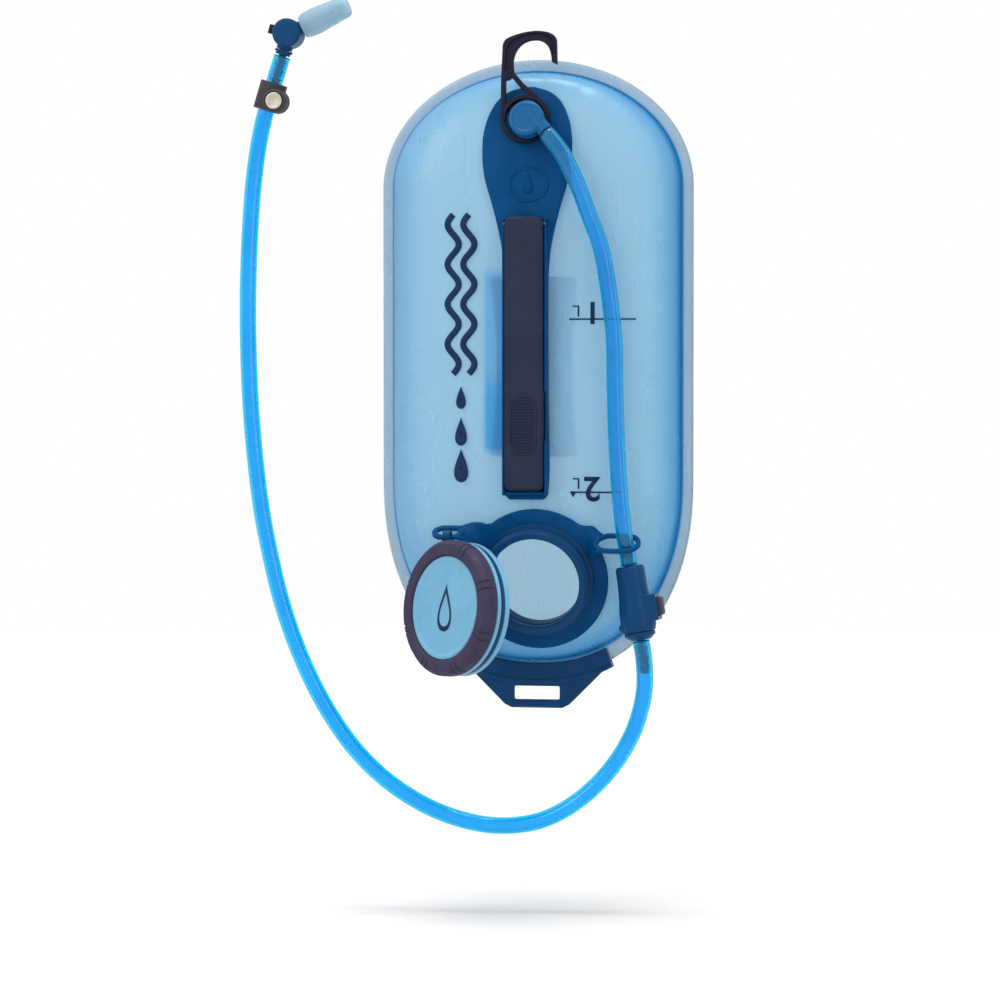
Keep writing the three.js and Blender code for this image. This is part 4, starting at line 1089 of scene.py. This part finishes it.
def ink_text(words, height, centre, bold=0.0):
    """A scale mark, upside down because the bag hangs from its outlet."""
    curve = bpy.data.curves.new("work", "FONT")
    curve.offset = bold
    curve.body, curve.size, curve.align_x, curve.align_y = words, height, "CENTER", "CENTER"
    text = bpy.data.objects.new("work", curve)
    bpy.context.scene.collection.objects.link(text)
    mesh = bpy.data.meshes.new_from_object(text.evaluated_get(bpy.context.evaluated_depsgraph_get()))
    bpy.data.objects.remove(text)
    points = [(centre[0] - v.co.x, centre[1] - v.co.y) for v in mesh.vertices]
    return printed(points, [tuple(p.vertices) for p in mesh.polygons])


def make_printing():
    marks = []
    for z, left, right in ((-155.7, 24, 61), (-251.8, 24.5, 53.3)):
        marks.append(ink_strip([(left + (right - left) * i / 12, z) for i in range(13)], 0.9))
    marks += [ink_text("1", 17, (37, -151.6), 0.35), ink_text("2", 19, (36.7, -249.2), 0.35)]
    marks += [ink_text("L", 9, (28, -150.8)), ink_text("L", 9, (28, -246.6))]
    marks.append(ink_shape([(27.6, -252), (24.5, -252), (26, -254.8)], (26, -252.9)))
    middle, wave_low, wave_high, steps = -37.5, -186, -97, 120
    for offset in (-4.5, 4.5):
        wave = [(middle + offset + 3.2 * math.sin(8 * math.pi * i / steps),
                 wave_low + (wave_high - wave_low) * i / steps) for i in range(steps + 1)]
        marks.append(ink_strip(wave, 3.6, 2))
    for z, size in ((-237, 9.5), (-218, 8), (-199, 6.5)):
        drop = [(middle + size * x, z + size * y) for x, y in DROP[::-1]]
        marks.append(ink_shape(drop, (middle, z - 0.2 * size)))
    ink = gathered(*marks)
    thick = ink.modifiers.new("thick", "SOLIDIFY")
    thick.thickness, thick.offset = 0.06, 0
    piece(baked(ink), "print", BAG, "root", [], "ink")


# ---------- the whole ----------

make_camera()
UPPER_HOSE = make_hose("outlet_hose", UPPER_LINE, "root", "upper_hose")
DRINK_HOSE = make_hose("drinking_hose", DRINK_LINE, "drink_line", "drink_hose")
make_stage()
make_lights()
make_bag()
make_spine()
make_outlet()
make_port()
make_cap()
make_coupling()
make_bracket()
make_clip()
make_valve()
make_printing()
declare_hose(UPPER_LINE)
declare_hose(DRINK_LINE)
